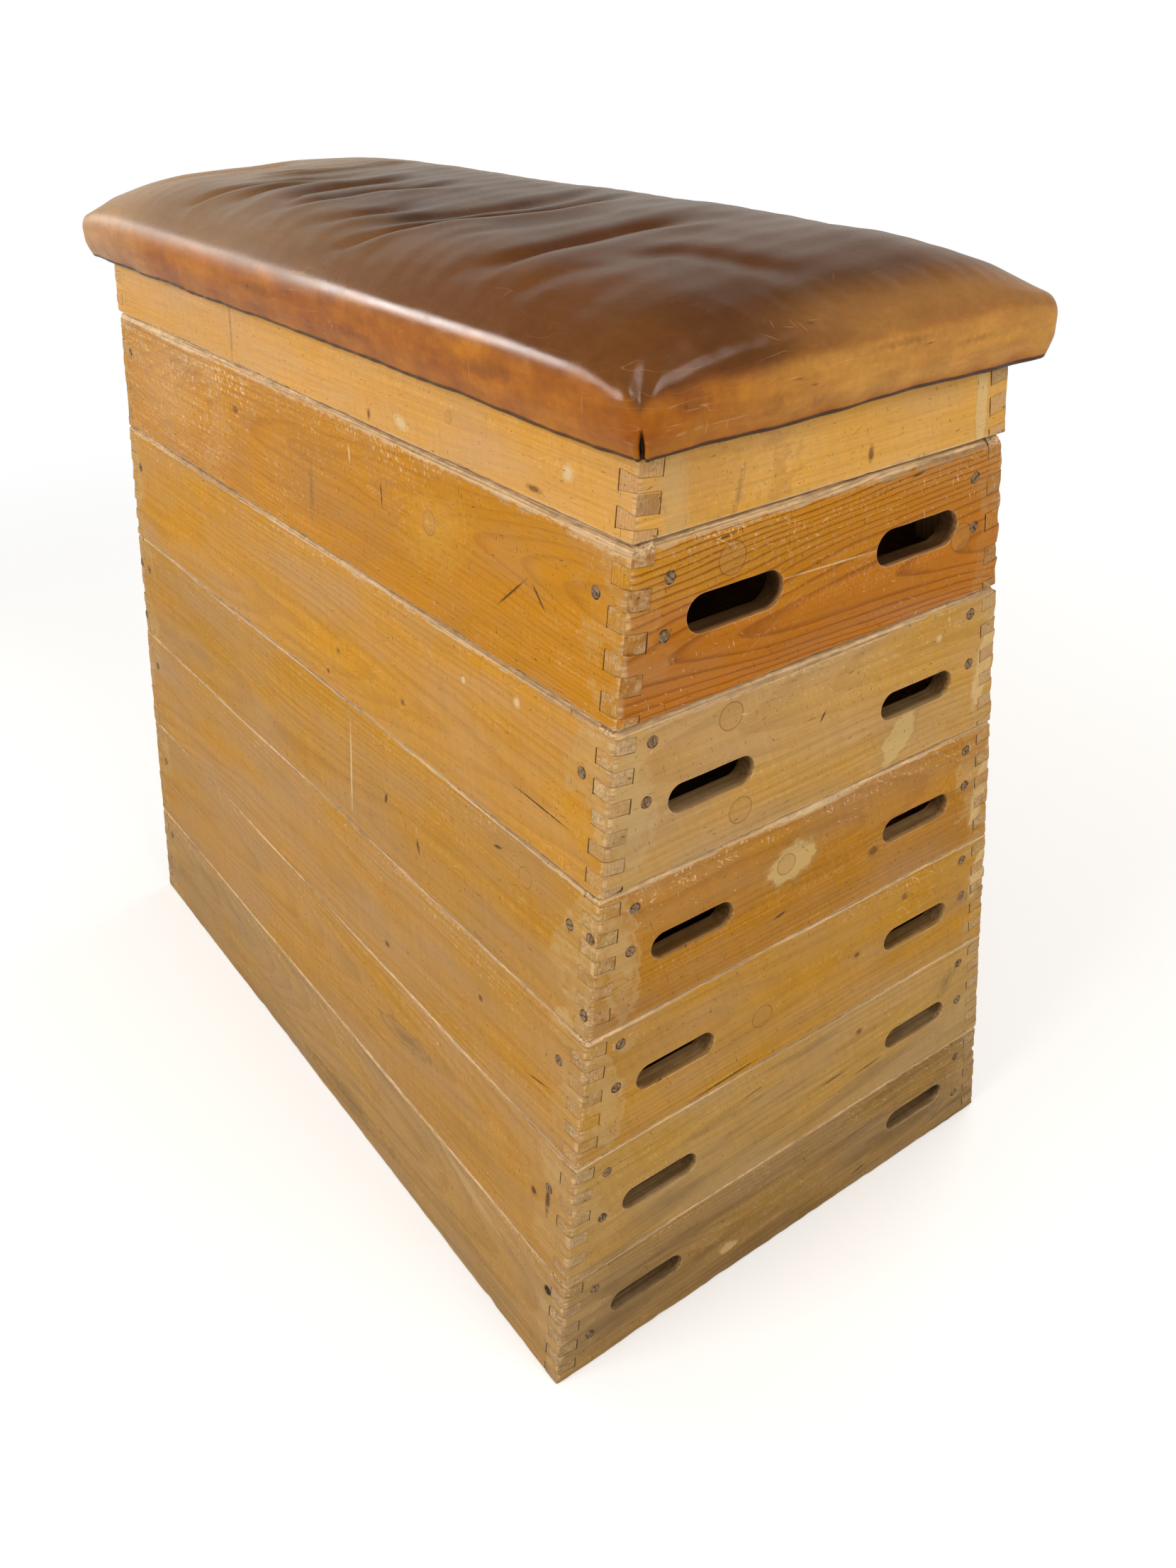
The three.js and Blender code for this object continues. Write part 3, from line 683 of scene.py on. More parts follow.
boardSpots = {
    "section_6_end_board_front": [
        ("plug", -115, 121, 15, 15, 0), ("plug", 170, 67, 14, 14, 0), ("dark", -123, 141, 13, 1.2, 4),
        ("pale", 0, 85, 56, 1.0, -2), ("dark", 102, 143, 8, 1.6, 8)],
    "section_5_end_board_front": [
        ("plug", -112, 134, 14, 14, 0), ("plug", -98, 31, 14, 14, 0), ("filler", 111, 32, 34, 19, 52),
        ("pale", 156, 126, 4, 4, 0), ("cream", 231, 78, 13, 58, -6), ("film", -222, 76, 24, 50, 4),
        ("dark", 2, 94, 6, 1.5, 60)],
    "top_end_board_front": [
        ("shade", -150, 30, 90, 60, 0), ("knot", 38, 17, 3.4, 8, 0), ("cream", 176, 40, 8, 60, 6),
        ("film", -176, 30, 13, 50, 4), ("smear", -110, 20, 3, 22, -14)],
    "section_4_end_board_front": [
        ("filler", -27, 95, 35, 23, 14), ("plug", -35, 96, 12, 12, 0), ("cream", 256, 74, 12, 60, -7),
        ("film", -240, 80, 22, 70, 4), ("knot", 90, 58, 8, 7, 0), ("dark", -40, 36, 9, 2, 12),
        ("pale", 0, 150, 62, 6, 0)],
    "section_3_end_board_front": [
        ("plug", -58, 67, 14, 14, 0), ("knot", 149, 126, 6, 5, 0), ("knot", 80, 79, 5, 4, 0),
        ("cream", 274, 104, 13, 40, -5), ("film", -262, 70, 20, 56, 4), ("dark", -100, 7, 52, 1.6, 3)],
    "section_2_end_board_front": [
        ("smear", -60, 108, 34, 3, 5), ("smear", 20, 84, 30, 2.4, 4), ("dark", 60, 66, 16, 1, 3),
        ("dark", 118, 52, 20, 1.4, 5), ("smear", 244, 112, 10, 22, -30), ("knot", 96, 118, 5, 4, 0),
        ("dark", -66, 122, 18, 0.9, 6)],
    "section_1_end_board_front": [
        ("filler", -95, 41, 13, 9, 0), ("smear", 20, 110, 60, 4, 4), ("smear", 258, 70, 16, 40, 0),
        ("dark", 120, 24, 12, 1.6, 8), ("smear", 110, 96, 40, 3, 5)],
    "section_6_side_board_right": [
        ("shade", 10, 70, 190, 90, 6), ("haze", -430, 80, 200, 100, 0), ("yellow", 298, 86, 60, 34, 20),
        ("smear", 28, 60, 5, 34, 0), ("dark", 432, 70, 1.3, 30, -50), ("dark", 474, 78, 1.3, 15, 50),
        ("dark", 190, 96, 1.5, 13, 10), ("knot", -180, 104, 9, 5, 0), ("pale", 120, 120, 2, 9, 8),
        ("plug", 286, 92, 12, 12, 0)],
    "section_5_side_board_right": [
        ("knot", 87, 53, 4, 3.5, 0), ("knot", 60, 19, 4, 3, 0), ("knot", 237, 49, 5, 4, 0),
        ("pale", 449, 132, 5, 5, 0), ("pale", 356, 119, 4, 4, 0), ("dark", 496, 48, 48, 1.2, -2),
        ("yellow", 550, 122, 22, 3, 30)],
    "section_4_side_board_right": [
        ("plug", 478, 118, 11, 11, 0), ("dark", 274, 48, 3, 9, 20), ("dark", 201, 73, 3, 7, -15),
        ("dark", 430, 127, 8, 2, 12), ("pale", 116, 70, 2.2, 58, 1)],
    "section_3_side_board_right": [
        ("knot", 410, 90, 5, 4, 0), ("knot", 204, 36, 6, 4, 0), ("dark", 520, 60, 22, 1, 12)],
    "section_2_side_board_right": [
        ("dark", 527, 79, 5, 5, 0), ("dark", 552, 84, 4, 20, 0), ("smear", 250, 90, 60, 12, 6)],
    "section_1_side_board_right": [
        ("film", 406, 128, 66, 7, -14), ("shadedHole", 564, 118, 6, 6, 0), ("smear", 100, 30, 120, 12, 2)],
    "top_side_board_right": [
        ("smear", -182, 36, 3, 60, 2), ("knot", 164, 11, 4, 6, 0), ("pale", 229, 16, 14, 6, -10),
        ("knot", 458, 10, 11, 3, 0), ("plug", 317, 39, 6, 6, 0), ("pale", 504, 34, 8, 7, 0)],
    "top_side_board_left": [
        ("haze", 590, 37, 20, 80, 0), ("haze", 590, 37, 20, 80, 0)],
}


def woodMaterial(name, look, face, seed, spots=()):
    # Ring number = distance from a tilted, wandering heart line / ring spacing; its fraction gives the late wood
    n = Nodes(bpy.data.materials.new(name))
    tint, marked, soiled = (look[face][key] for key in ("tint", "mark", "dirtAndShade"))
    other = look["end" if face == "side" else "side"]["tint"]
    rng = np.random.default_rng(seed)
    far = [float(v) for v in rng.uniform(-40, 40, 3)]
    grain = n.read("grain")
    along, up, depth = n.split(grain)
    toTop, toBottom, toArris = n.split(n.read("edges"))
    onTip, toSlot, _ = n.split(n.read("kind"))
    fingerTone, taken, chance = n.split(n.read("finger"))

    def streaks(sizes, turn=0.0, detail=2.0, shift=(0, 0, 0)):
        # noise that is drawn out by the given sizes in metres, after it is turned in the board's plane
        return n.noise(n.vector("ADD", n.placed(grain, shift, turn, sizes), far), 1.0, detail)

    broad = streaks((0.62, 0.16, 0.16), detail=2)
    cloud = streaks((0.2, 0.06, 0.06), detail=5)
    rough = streaks((0.012, 0.009, 0.009), detail=5)
    fibre = streaks((0.2, 0.0032, 0.0032), detail=4)
    pores = streaks((0.024, 0.0009, 0.0009), detail=2)
    # knots push the rings round themselves
    marks = []
    bend = None
    for kind, atX, atZ, halfX, halfZ, turn in spots:
        bends = spotLooks[kind][-1]
        placed = n.placed(grain, (atX * mm, atZ * mm, 0), math.radians(turn), (halfX * mm, halfZ * mm, 40.0))
        away = n.vector("LENGTH", placed, output=1)
        marks.append((kind, away))
        if bends:
            push = n.math("EXPONENT", n.times(n.times(away, away), -0.35))
            push = n.times(push, 0.007)
            bend = push if bend is None else n.math("ADD", bend, push)
    heart = float(rng.uniform(0.05, 0.12)) * (1 if rng.random() < 0.5 else -1)
    tilt, slope = float(rng.uniform(-0.05, 0.05)), float(rng.uniform(-0.03, 0.03))
    middle = float(rng.uniform(0.03, 0.12))
    q = n.sum(along, tilt, n.math("ADD", depth, heart))
    q = n.sway(broad, 0.045, q)
    if bend is not None:
        q = n.math("ADD", q, bend)
    u = n.sum(along, slope, n.math("SUBTRACT", up, middle))
    u = n.sway(cloud, 0.012, u)
    u = n.sway(fibre, 0.0022, u)
    away = n.vector("LENGTH", n.join(0.0, u, q), output=1)
    ring = n.math("DIVIDE", away, look["rings"] * mm)
    ring = n.sum(n.noise(n.join(n.times(away, 70.0), far[0], far[1]), 1.0, 1.0), 1.6, ring)
    part = n.math("FRACT", ring)
    late = n.times(n.ramp(part, look["sharp"], 0.9), n.ramp(part, 0.92, 1.0, 1.0, 0.0))
    late = n.times(late, n.ramp(broad, 0.3, 0.65, 0.55, 1.0))
    late = n.times(late, marked)

    base = linear(tint, (1.0, 0.97, 0.8))
    deep = linear(tint, (0.7, 0.55, 0.3))
    if "upper" in look[face]:
        high = n.sway(cloud, 0.12, up)
        high = n.times(n.ramp(high, 0.06, 0.13), n.ramp(along, 0.16, -0.2, 0.45, 1.0))
        base = n.mix(high, base, linear(look[face]["upper"]))
    color = n.mix(late, base, deep)
    # end grain of the fingers, under the varnish of the face that it lies in: a little darker, each with its own tone
    tip = look["tip"]
    tones = [linear(other, [1 - s * tip for s in shares]) for shares in ((0.4, 0.46, 0.52), (0.05, 0.08, 0.12))]
    tipColor = n.mix(n.ramp(fingerTone, 0.0, 0.5), *tones)
    pith = n.math("FRACT", n.sum(cloud, 3.0, n.times(depth, 260.0)))
    tipColor = n.mix(n.ramp(pith, 0.5, 0.95, 0.0, 0.25), tipColor, linear(other, (0.55, 0.55, 0.55)))
    color = n.mix(onTip, color, tipColor)
    value = n.ramp(cloud, 0.2, 0.8, 0.91, 1.08, smooth=False)
    value = n.times(value, n.ramp(broad, 0.2, 0.8, 0.92, 1.08, smooth=False))
    value = n.times(value, n.ramp(fibre, 0.25, 0.75, 0.93, 1.06, smooth=False))
    value = n.times(value, n.ramp(pores, 0.6, 0.75, 1.0, 0.82))
    if look["figure"]:
        across = streaks((0.007, 0.09, 0.05), turn=0.3, detail=3, shift=(4, 2, 9))
        value = n.times(value, n.ramp(across, 0.3, 0.7, 1 - look["figure"], 1 + look["figure"], smooth=False))
    color = n.shade(color, value, Saturation=n.ramp(cloud, 0.25, 0.75, 0.92, 1.1))
    # spots with their rims
    for kind, away in marks:
        spotTone, rimTone, soft, waver, opacity, _ = spotLooks[kind]
        wavy = n.sway(rough, waver, away)
        inside = n.ramp(wavy, 1 - soft, 1.0, 1.0, 0.0)
        if kind == "plug":
            rim = n.ramp(n.off(wavy, 0.97), 0.01, 0.07, 0.6, 0.0)
        else:
            rim = n.ramp(n.off(wavy, 0.98), 0.02, 0.2, 0.35, 0.0)
        color = n.mix(n.times(inside, opacity), color, linear(spotTone))
        color = n.mix(rim, color, linear(rimTone))

    # thin beige filler smeared over the corners' joints, ragged towards the board, and dark gaps at some shoulders
    patchy = n.ramp(n.noise(n.vector("ADD", grain, far), 19.0, 4.0), 0.32, 0.68, -0.03, 0.045)
    zone = n.ramp(n.math("ADD", toArris, patchy), 0.032, 0.05, 1.0, 0.0)
    zone = n.times(zone, n.ramp(n.sum(fingerTone, 0.3, rough), 0.4, 0.7, 1.0, 0.35))
    zone = n.times(zone, n.ramp(fibre, 0.3, 0.6, 0.6, 1.0))
    color = n.mix(n.times(zone, look["fill"]), color, rawWood["filler"])
    gap = n.ramp(n.off(toArris, 0.0236), 0.0003, 0.0011, 0.9, 0.0)
    gap = n.times(n.times(gap, taken), n.ramp(chance, 0.35, 0.45))
    color = n.mix(gap, color, rawWood["dark"])

    # wear: the varnish is gone along the edges and round the slots, more where the noise is low
    def worn(distance, width, share=1.0):
        ragged = n.sway(rough, width * mm * 1.9, distance)
        ragged = n.sway(cloud, width * mm * 1.8, ragged)
        return n.ramp(ragged, width * mm * 0.55, width * mm * 1.15, share, 0.0)

    wearShare = worn(toTop, look["wear"], 0.94)
    arris = n.sum(onTip, 0.006, toArris)
    for distance, width, share in ((toBottom, 2.4, 0.85), (arris, 6.0, 0.52), (toSlot, 1.0, 0.45)):
        wearShare = n.most(wearShare, worn(distance, width, share))
    # nicks, most of them below the top edge, specks and long scratches
    chipField = n.ramp(streaks((0.16, 0.1, 0.1), detail=2, shift=(3, 1, 2)), 0.36, 0.58)
    chipLow = n.ramp(toTop, 0.0, 0.07, 0.64, 0.71 if "nicked" in look else 0.75)
    if "nicked" in look and face == "side":
        chipLow = n.math("SUBTRACT", chipLow, n.ramp(along, 0.1, -0.25, 0.0, look["nicked"]))
    chipShare = 0.0
    for sizes, turn in (((0.0026, 0.012, 0.01), 0.25), ((0.004, 0.005, 0.01), 0.0), ((0.011, 0.0022, 0.01), -0.5)):
        chips = n.ramp(streaks(sizes, turn=turn, detail=2, shift=(turn, 4, 0)), chipLow, n.math("ADD", chipLow, 0.03))
        chipShare = n.most(chipShare, n.times(chips, chipField))
    for turn, length, wide in ((0.5, 0.09, 0.006), (-0.9, 0.06, 0.005), (1.35, 0.05, 0.004), (1.7, 0.07, 0.005)):
        line = streaks((length, wide, 0.02), turn=turn, detail=1, shift=(turn, 2, 5))
        line = n.ramp(n.off(line, 0.5), 0.0, 0.01, 0.5, 0.0)
        chipShare = n.most(chipShare, n.times(line, n.ramp(cloud, 0.44, 0.6)))
    wearShare = n.most(wearShare, n.times(chipShare, 0.8))
    raw = n.mix(n.ramp(fibre, 0.36, 0.62), rawWood["grey"], rawWood["pale"])
    raw = n.mix(n.times(late, 0.8), raw, rawWood["grey"])
    raw = n.shade(raw, n.ramp(rough, 0.3, 0.72, 0.74, 1.08))
    color = n.mix(wearShare, color, raw)

    # dirt and painted shade: short dark dashes and broad grime low down are dirt; the black in the seams
    # and slots is painted shade
    dashes = streaks((0.010, 0.0016, 0.01), turn=0.1, detail=2, shift=(7, 3, 1))
    nicks = streaks((0.0016, 0.009, 0.01), turn=0.25, detail=2, shift=(2, 6, 4))
    dirtAndShade = n.times(n.ramp(n.most(dashes, nicks), 0.69, 0.73), 0.6)
    grime = n.ramp(n.sum(toBottom, -0.7, streaks((0.17, 0.02, 0.03), turn=0.05, detail=6)), 0.4, 0.66)
    dirtAndShade = n.most(dirtAndShade, n.times(grime, 0.42 * soiled))
    # painted shade in the gap below each board, along its lower edge
    seamShade = n.ramp(toBottom, 0.0, 0.0009, 0.55, 0.0)
    dirtAndShade = n.most(dirtAndShade, seamShade)
    # painted shade on the box's inner faces and deep walls, strongest round the slots; none on the finger tips
    inner = n.ramp(depth, 0.0008, 0.008, 0.0, look.get("inner", 0.72))
    inner = n.times(inner, n.ramp(toSlot, 0.0, 0.02, 1.0, 0.45))
    inner = n.times(inner, n.math("SUBTRACT", 1.0, onTip))
    dirtAndShade = n.most(dirtAndShade, n.times(inner, n.ramp(cloud, 0.3, 0.6, 0.6, 1.0)))
    color = n.mix(dirtAndShade, color, rawWood["dark"])

    sheen = n.sum(wearShare, 0.36, look["gloss"])
    sheen = n.sway(cloud, 0.25, sheen)
    sheen = n.sum(dirtAndShade, 0.2, sheen)
    relief = n.sum(late, -0.5, n.times(fibre, 0.6))
    relief = n.sum(wearShare, -0.8, relief)
    relief = n.sum(rough, n.sum(wearShare, 1.3, 0.25), relief)
    relief = n.sum(pores, -0.35, relief)
    normal = n.bump(relief, 0.55, 0.0006)
    return n.finish(Specular_IOR_Level=0.18, Base_Color=color, Roughness=sheen, Normal=normal)


# Noise scales across and along the fibres of planed wood, its rings' scale, and shares of its tint in late wood
planed = {"fine": (420.0, 7.0), "slow": (16.0, 1.4), "rings": 150.0, "late": (0.66, 0.56, 0.42)}


def bareWood(name, tint, axis, seed):
    # Planed softwood without varnish: rings across two axes, fibres along the third, in Object coordinates
    n = Nodes(bpy.data.materials.new(name))
    here = n.add("ShaderNodeTexCoord", output=3)
    far = [float(v) for v in np.random.default_rng(seed).uniform(-20, 20, 3)]
    fine, slow = ([planed[key][int(k == axis)] for k in range(3)] for key in ("fine", "slow"))
    fibre = n.noise(n.stretch(here, fine, far), 1.0, 3.0)
    cloud = n.noise(n.stretch(here, slow, far), 1.0, 4.0)
    warped = n.stretch(here, [0.0 if k == axis else 1.0 for k in range(3)])
    rings = n.times(n.vector("LENGTH", warped, output=1), planed["rings"])
    rings = n.math("FRACT", n.sum(cloud, 5.0, rings))
    late = n.times(n.ramp(rings, 0.3, 0.9), n.ramp(rings, 0.92, 1.0, 1.0, 0.0))
    color = n.mix(n.times(late, 0.4), linear(tint), linear(tint, planed["late"]))
    value = n.times(n.ramp(fibre, 0.25, 0.75, 0.84, 1.1), n.ramp(cloud, 0.2, 0.8, 0.82, 1.08))
    color = n.shade(color, value)
    grime = n.ramp(n.noise(here, 26.0, 6.0, 0.6), 0.52, 0.75, 0.0, 0.45)
    color = n.mix(grime, color, rawWood["dark"])
    normal = n.bump(n.sum(late, 0.4, fibre), 0.5, 0.0005)
    gloss = n.ramp(fibre, 0.2, 0.8, 0.62, 0.82)
    return n.finish(Specular_IOR_Level=0.2, Base_Color=color, Roughness=gloss, Normal=normal)


number = 0
for sectionName, section in sections.items():
    look = woodLooks[sectionName]
    for sideName, side in sides.items():
        number += 1
        boardName = f"{sectionName}_side_board_{sideName}"
        material = woodMaterial(boardName, look, "side", 40 + number, boardSpots.get(boardName, ()))
        sideBoard(boardName, section, side, material, 400 + 20 * number)
    for endName, end in ends.items():
        number += 1
        boardName = f"{sectionName}_end_board_{endName}"
        material = woodMaterial(boardName, look, "end", 40 + number, boardSpots.get(boardName, ()))
        endBoard(boardName, section, end, material, 400 + 20 * number)
    print(sectionName, "boards made")

postWood = bareWood("post_wood_worn", (176, 138, 88), 2, 5)
deckWood = bareWood("deck_wood_worn", (186, 150, 98), 0, 6)
for nodeName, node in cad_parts.items():
    bare = postWood if "corner_" in nodeName else deckWood if nodeName == "deck_board" else None
    if bare:
        for holder in node.material_slots:
            holder.link = "OBJECT"
            holder.material = bare


# Slotted countersunk screws. Rings from a head's middle outwards are (radius, height as a share of the rise, tone);
# the last ones are a dark ring round it, old dirt and painted shade of the countersink, whose edge is sunk
# into the wood.
screw = {"slot": 0.62, "rise": 0.42, "sunk": -0.9, "slotHeight": 0.12, "slotShade": 0.1, "inset": 41,
         "fingerInset": 9.5, "sharp": 50}
screwRings = ((screw["slot"], 1.0, 1), (1.5, 0.98, 1), (2.6, 0.92, 1), (3.7, 0.84, 1), (4.4, 0.74, 1), (4.7, 0.5, 0.8),
              (4.9, 0.12, 0), (5.4, 0.16, 0), (6.2, 0.02, 0), (6.2, screw["sunk"], 0))
# Heights above each section's floor line, on the ends and on the long sides
screwHeights = {
    "section_1": ((118, 49), (116,)), "section_2": ((133, 71), (103,)), "section_3": ((134, 81), (108,)),
    "section_4": ((130, 84), (108,)), "section_5": ((140, 83), (108,)), "section_6": ((122, 73), (108,)),
}
emptyHoles = {("section_1", "front", "right")}
fingerScrews = {"section_4": (111, 27)}


def screwShape(turn, seed):
    # A flat dome on rings of angles; the slot is a pair of columns that stay at half its width on every ring,
    # asin(half width / ring radius) either side of its axis, and lie lower than the rest.
    radii, heights, tones = np.array(screwRings).T
    heights = heights * screw["rise"]
    low = np.arcsin(np.minimum(screw["slot"] / radii, 1))
    share = np.linspace(0, 1, 8)
    upper = low[:, None] + (np.pi - 2 * low)[:, None] * share
    angles = np.concatenate([-low[:, None], low[:, None], upper, (np.pi - low)[:, None], (np.pi + low)[:, None],
                             np.pi + upper], axis=1)
    inSlot = np.zeros(angles.shape, bool)
    inSlot[:5, [0, 1, 10, 11]] = True
    across = radii[:, None] * np.cos(angles)
    over = radii[:, None] * np.sin(angles)
    high = np.where(inSlot, screw["slotHeight"] * screw["rise"], heights[:, None])
    # the slot's low tone gives it the dark brown of old dirt and painted shade
    tone = np.where(inSlot, screw["slotShade"], tones[:, None])
    across, over, high = (np.vstack([a, np.full((1, a.shape[1]), last)]) for a, last in
                          ((across, 0.0), (over, 0.0), (high, screw["sunk"] * screw["rise"])))
    tone = np.vstack([tone, np.zeros((1, tone.shape[1]))])
    turned = np.stack([across * np.cos(turn) - over * np.sin(turn), across * np.sin(turn) + over * np.cos(turn), high],
                      -1)
    rows, columns = tone.shape
    i, j = np.meshgrid(np.arange(rows - 1), np.arange(columns), indexing="ij")
    after = (j + 1) % columns
    quads = np.stack([i * columns + j, i * columns + after, (i + 1) * columns + after, (i + 1) * columns + j], -1)
    flat = np.stack([tone, np.full(tone.shape, (seed % 17) / 17), high], -1)
    return turned.reshape(-1, 3), quads.reshape(-1, 4), flat.reshape(-1, 3)


steelTones = {"bright": (162, 134, 98), "tarnished": (84, 60, 36), "dirtAndShade": (44, 28, 14), "stainAndShade": (150, 106, 58)}


def screwSteel():
    # Dull steel with brown tarnish; the slot and the ring round the head take a dark brown, old dirt and painted
    # shade, from the "tone" attribute
    n = Nodes(bpy.data.materials.new("screw_steel_worn"))
    steel, each, _ = n.split(n.read("tone"))
    here = n.add("ShaderNodeTexCoord", output=3)
    spots = n.ramp(n.noise(here, 300.0, 5.0), 0.4, 0.6)
    spots = n.times(spots, n.ramp(each, 0.0, 1.0, 0.5, 1.0))
    tones = {key: linear(tone) for key, tone in steelTones.items()}
    metal = n.mix(spots, tones["bright"], tones["tarnished"])
    stainAndShade = n.mix(n.ramp(n.noise(here, 240.0, 4.0), 0.4, 0.62), tones["dirtAndShade"], tones["stainAndShade"])
    color = n.mix(steel, stainAndShade, metal)
    metallic = n.times(n.times(steel, 0.35), n.ramp(spots, 0.0, 1.0, 1.0, 0.35))
    normal = n.bump(n.noise(here, 900.0, 3.0), 0.4, 0.0002)
    return n.finish(Base_Color=color, Metallic=metallic, Roughness=n.ramp(spots, 0.0, 1.0, 0.42, 0.7), Normal=normal)


def tidyMesh(mesh, distance=2e-6):
    # Merges doubled points and turns the faces outwards
    built = bmesh.new()
    built.from_mesh(mesh)
    bmesh.ops.remove_doubles(built, verts=built.verts, dist=distance)
    bmesh.ops.recalc_face_normals(built, faces=built.faces)
    built.to_mesh(mesh)
    built.free()


def sectionScrews(sectionName, section, material, seed):
    # Every corner post is screwed from the end and from the long side, and in section 4 the fingers are too
    rng = np.random.default_rng(seed)
    points, quads, tones, total = [], [], [], 0
    endHeights, sideHeights = screwHeights[sectionName]
    spots = []
    for endName, end in ends.items():
        for sideName, side in sides.items():
            for h in endHeights:
                z = section["bottom"] + h
                spots.append(((end * halfLength, side * (halfWidth(z) - screw["inset"]), z), (0, side, 0), (end, 0, 0)))
            lean = (0, side * math.cos(leanAngle), math.sin(leanAngle))
            rows = [(h, screw["inset"]) for h in sideHeights if (sectionName, endName, sideName) not in emptyHoles]
            rows += [(h, screw["fingerInset"]) for h in fingerScrews.get(sectionName, ())]
            for h, inset in rows:
                z = section["bottom"] + h
                spots.append(((end * (halfLength - inset), side * halfWidth(z), z), (end, 0, 0), lean))
    for where, across, out in spots:
        shape, faces, tone = screwShape(rng.uniform(0, np.pi), int(rng.integers(0, 100)))
        e1, e3 = np.array(across, float), np.array(out, float)
        e2 = np.cross(e3, e1)
        points.append(np.array(where) + shape @ np.stack([e1, e2, e3]))
        quads.append(faces + total)
        tones.append(tone)
        total += len(shape)
    mesh = meshOf(f"{sectionName}_screws", np.concatenate(points), np.concatenate(quads),
                  {"tone": np.concatenate(tones)}, sharp=screw["sharp"])
    tidyMesh(mesh)
    mesh.set_sharp_from_angle(angle=math.radians(screw["sharp"]))
    place(mesh, section["body"], material)


steelMaterial = screwSteel()
for order, sectionName in enumerate(screwHeights):
    sectionScrews(sectionName, sections[sectionName], steelMaterial, 70 + order)
print("screws made")


# Padded top: brown leather over a crowned pad, drawn round the deck's edge
pad = {
    "halfX": 626.5, "halfY": 235, "corner": 21, "sideRim": (9.5, 15), "endRim": (18, 18), "crown": 50,
    "sidePower": 5.3, "endPower": 10, "shoulder": 1062, "flankTop": 1052, "flankMiddle": 1033,
    "flank": (1048.5, 1045, 1041, 1037, 1033, 1029, 1025, 1021, 1017.5, 1014.5, 1012, 1010.2, 1008.6),
    "hem": 1006.7, "hemDraw": 7, "turn": 22, "lip": 1009.7, "deckTop": 1022.6, "deckEdge": 8.9, "step": 3.4,
    "endFade": (0.35, 110), "rimLines": (5, 8, (6.5, 8.5, 11, 14, 17.5)),
}
# Waves of the stuffing and the hide as (height, wavelength), and of the hem, which also sags between the corners
hide = {"swell": (1.4, 240), "lump": (0.6, 100), "pull": (0.5, 52), "tug": (0.35, 26), "tugPlace": (34, 26)}
hemForm = {"gather": ((0.7, 60), (0.45, 22)), "sag": (0.9, 110), "arch": 1.2, "from": 1036, "over": 28,
           "mark": (1044, 38), "fullest": 0.9, "highest": 1.6}
# The rim's sunk corners with the pleat on the near one, and the open seam below it
corners = {"dip": 6, "nearDip": 9, "reach": 46, "valley": (6.5, 4.5), "ridge": (2.4, 12, 6.5), "pleatReach": 66}
slit = {"turn": 42, "top": 1051, "height": 24, "halfWidth": 0.9, "widening": 1.9, "depth": 6.0, "lips": (2.0, 3.2, 2.6)}
# A crease's fading ends as shares of its path, and its ridges and hollow as shares of its depth and half width
fold = {"start": 0.4, "end": 0.25, "offset": 2.2, "width": 1.5, "far": 0.35, "hollow": 0.35, "hollowWidth": 4}
# Each crease: depth, half width, height of the fold beside it, the fold's side and its path's points (x, y)
creases = [
    (8.0, 14, 5.0, -1, ((70, -228), (86, -208), (106, -184), (124, -150), (146, -108), (166, -50), (172, 6),
     (156, 75), (140, 130))),
    (4.0, 16, 2.0, -1, ((40, -190), (66, -160), (92, -110), (112, -50), (118, 20), (104, 90), (90, 150))),
    (5.6, 15, 3.4, -1, ((296, -214), (326, -190), (346, -158), (347, -116), (341, -70), (335, -14), (334, 40),
     (322, 100))),
    (3.4, 17, 1.2, 1, ((446, -170), (436, -118), (436, -80), (450, -52), (490, -36), (532, -21), (572, -4))),
    (4.8, 13, 3.0, -1, ((-312, -222), (-308, -196), (-297, -172), (-297, -140), (-288, -95), (-264, -38), (-246, 30))),
    (4.0, 14, 2.6, 1, ((-112, -180), (-126, -154), (-156, -116), (-176, -54), (-171, 12), (-160, 70))),
    (3.8, 14, 2.4, -1, ((-112, -214), (-108, -170), (-96, -114), (-106, -46), (-74, 6), (-60, 80))),
    (3.4, 14, 2.2, -1, ((-16, -206), (2, -170), (14, -132), (26, -98), (34, -50))),
    (6.5, 7, 4.5, -1, ((-392, -72), (-368, -40), (-346, 0), (-342, 50), (-354, 100), (-366, 140))),
    (2.8, 15, 1.6, 1, ((-470, -190), (-478, -120), (-470, -40), (-452, 50))),
    (3.2, 13, 2.0, -1, ((-220, -190), (-232, -140), (-236, -70), (-222, 10))),
    (2.0, 14, 1.0, -1, ((420, -224), (424, -190), (434, -150), (444, -100))),
    (1.6, 14, 0.8, -1, ((224, -180), (240, -120), (246, -50), (238, 30))),
    (1.6, 9, 1.0, -1, ((612, -210), (606, -170), (598, -138), (594, -100))),
]


def lineOf(points, count=60):
    # A smooth path through points: Catmull-Rom, whose speed at a point is half the step between its neighbours
    points = np.array(points, float)
    padded = np.vstack([2 * points[0] - points[1], points, 2 * points[-1] - points[-2]])
    t = np.linspace(0, len(points) - 1 - 1e-6, count)
    k, f = t.astype(int), (t % 1)[:, None]
    a, b, c, d = (padded[k + step] for step in range(4))
    return 0.5 * (2 * b + (c - a) * f + (2 * a - 5 * b + 4 * c - d) * f ** 2 + (3 * b - a - 3 * c + d) * f ** 3)


def smooth(share):
    # An even start and end between 0 and 1: 3 share^2 - 2 share^3
    share = np.clip(share, 0, 1)
    return share * share * (3 - 2 * share)


def bell(offset, width):
    # 1 at the middle, 0.37 a width away from it
    return np.exp(-(offset / width) ** 2)


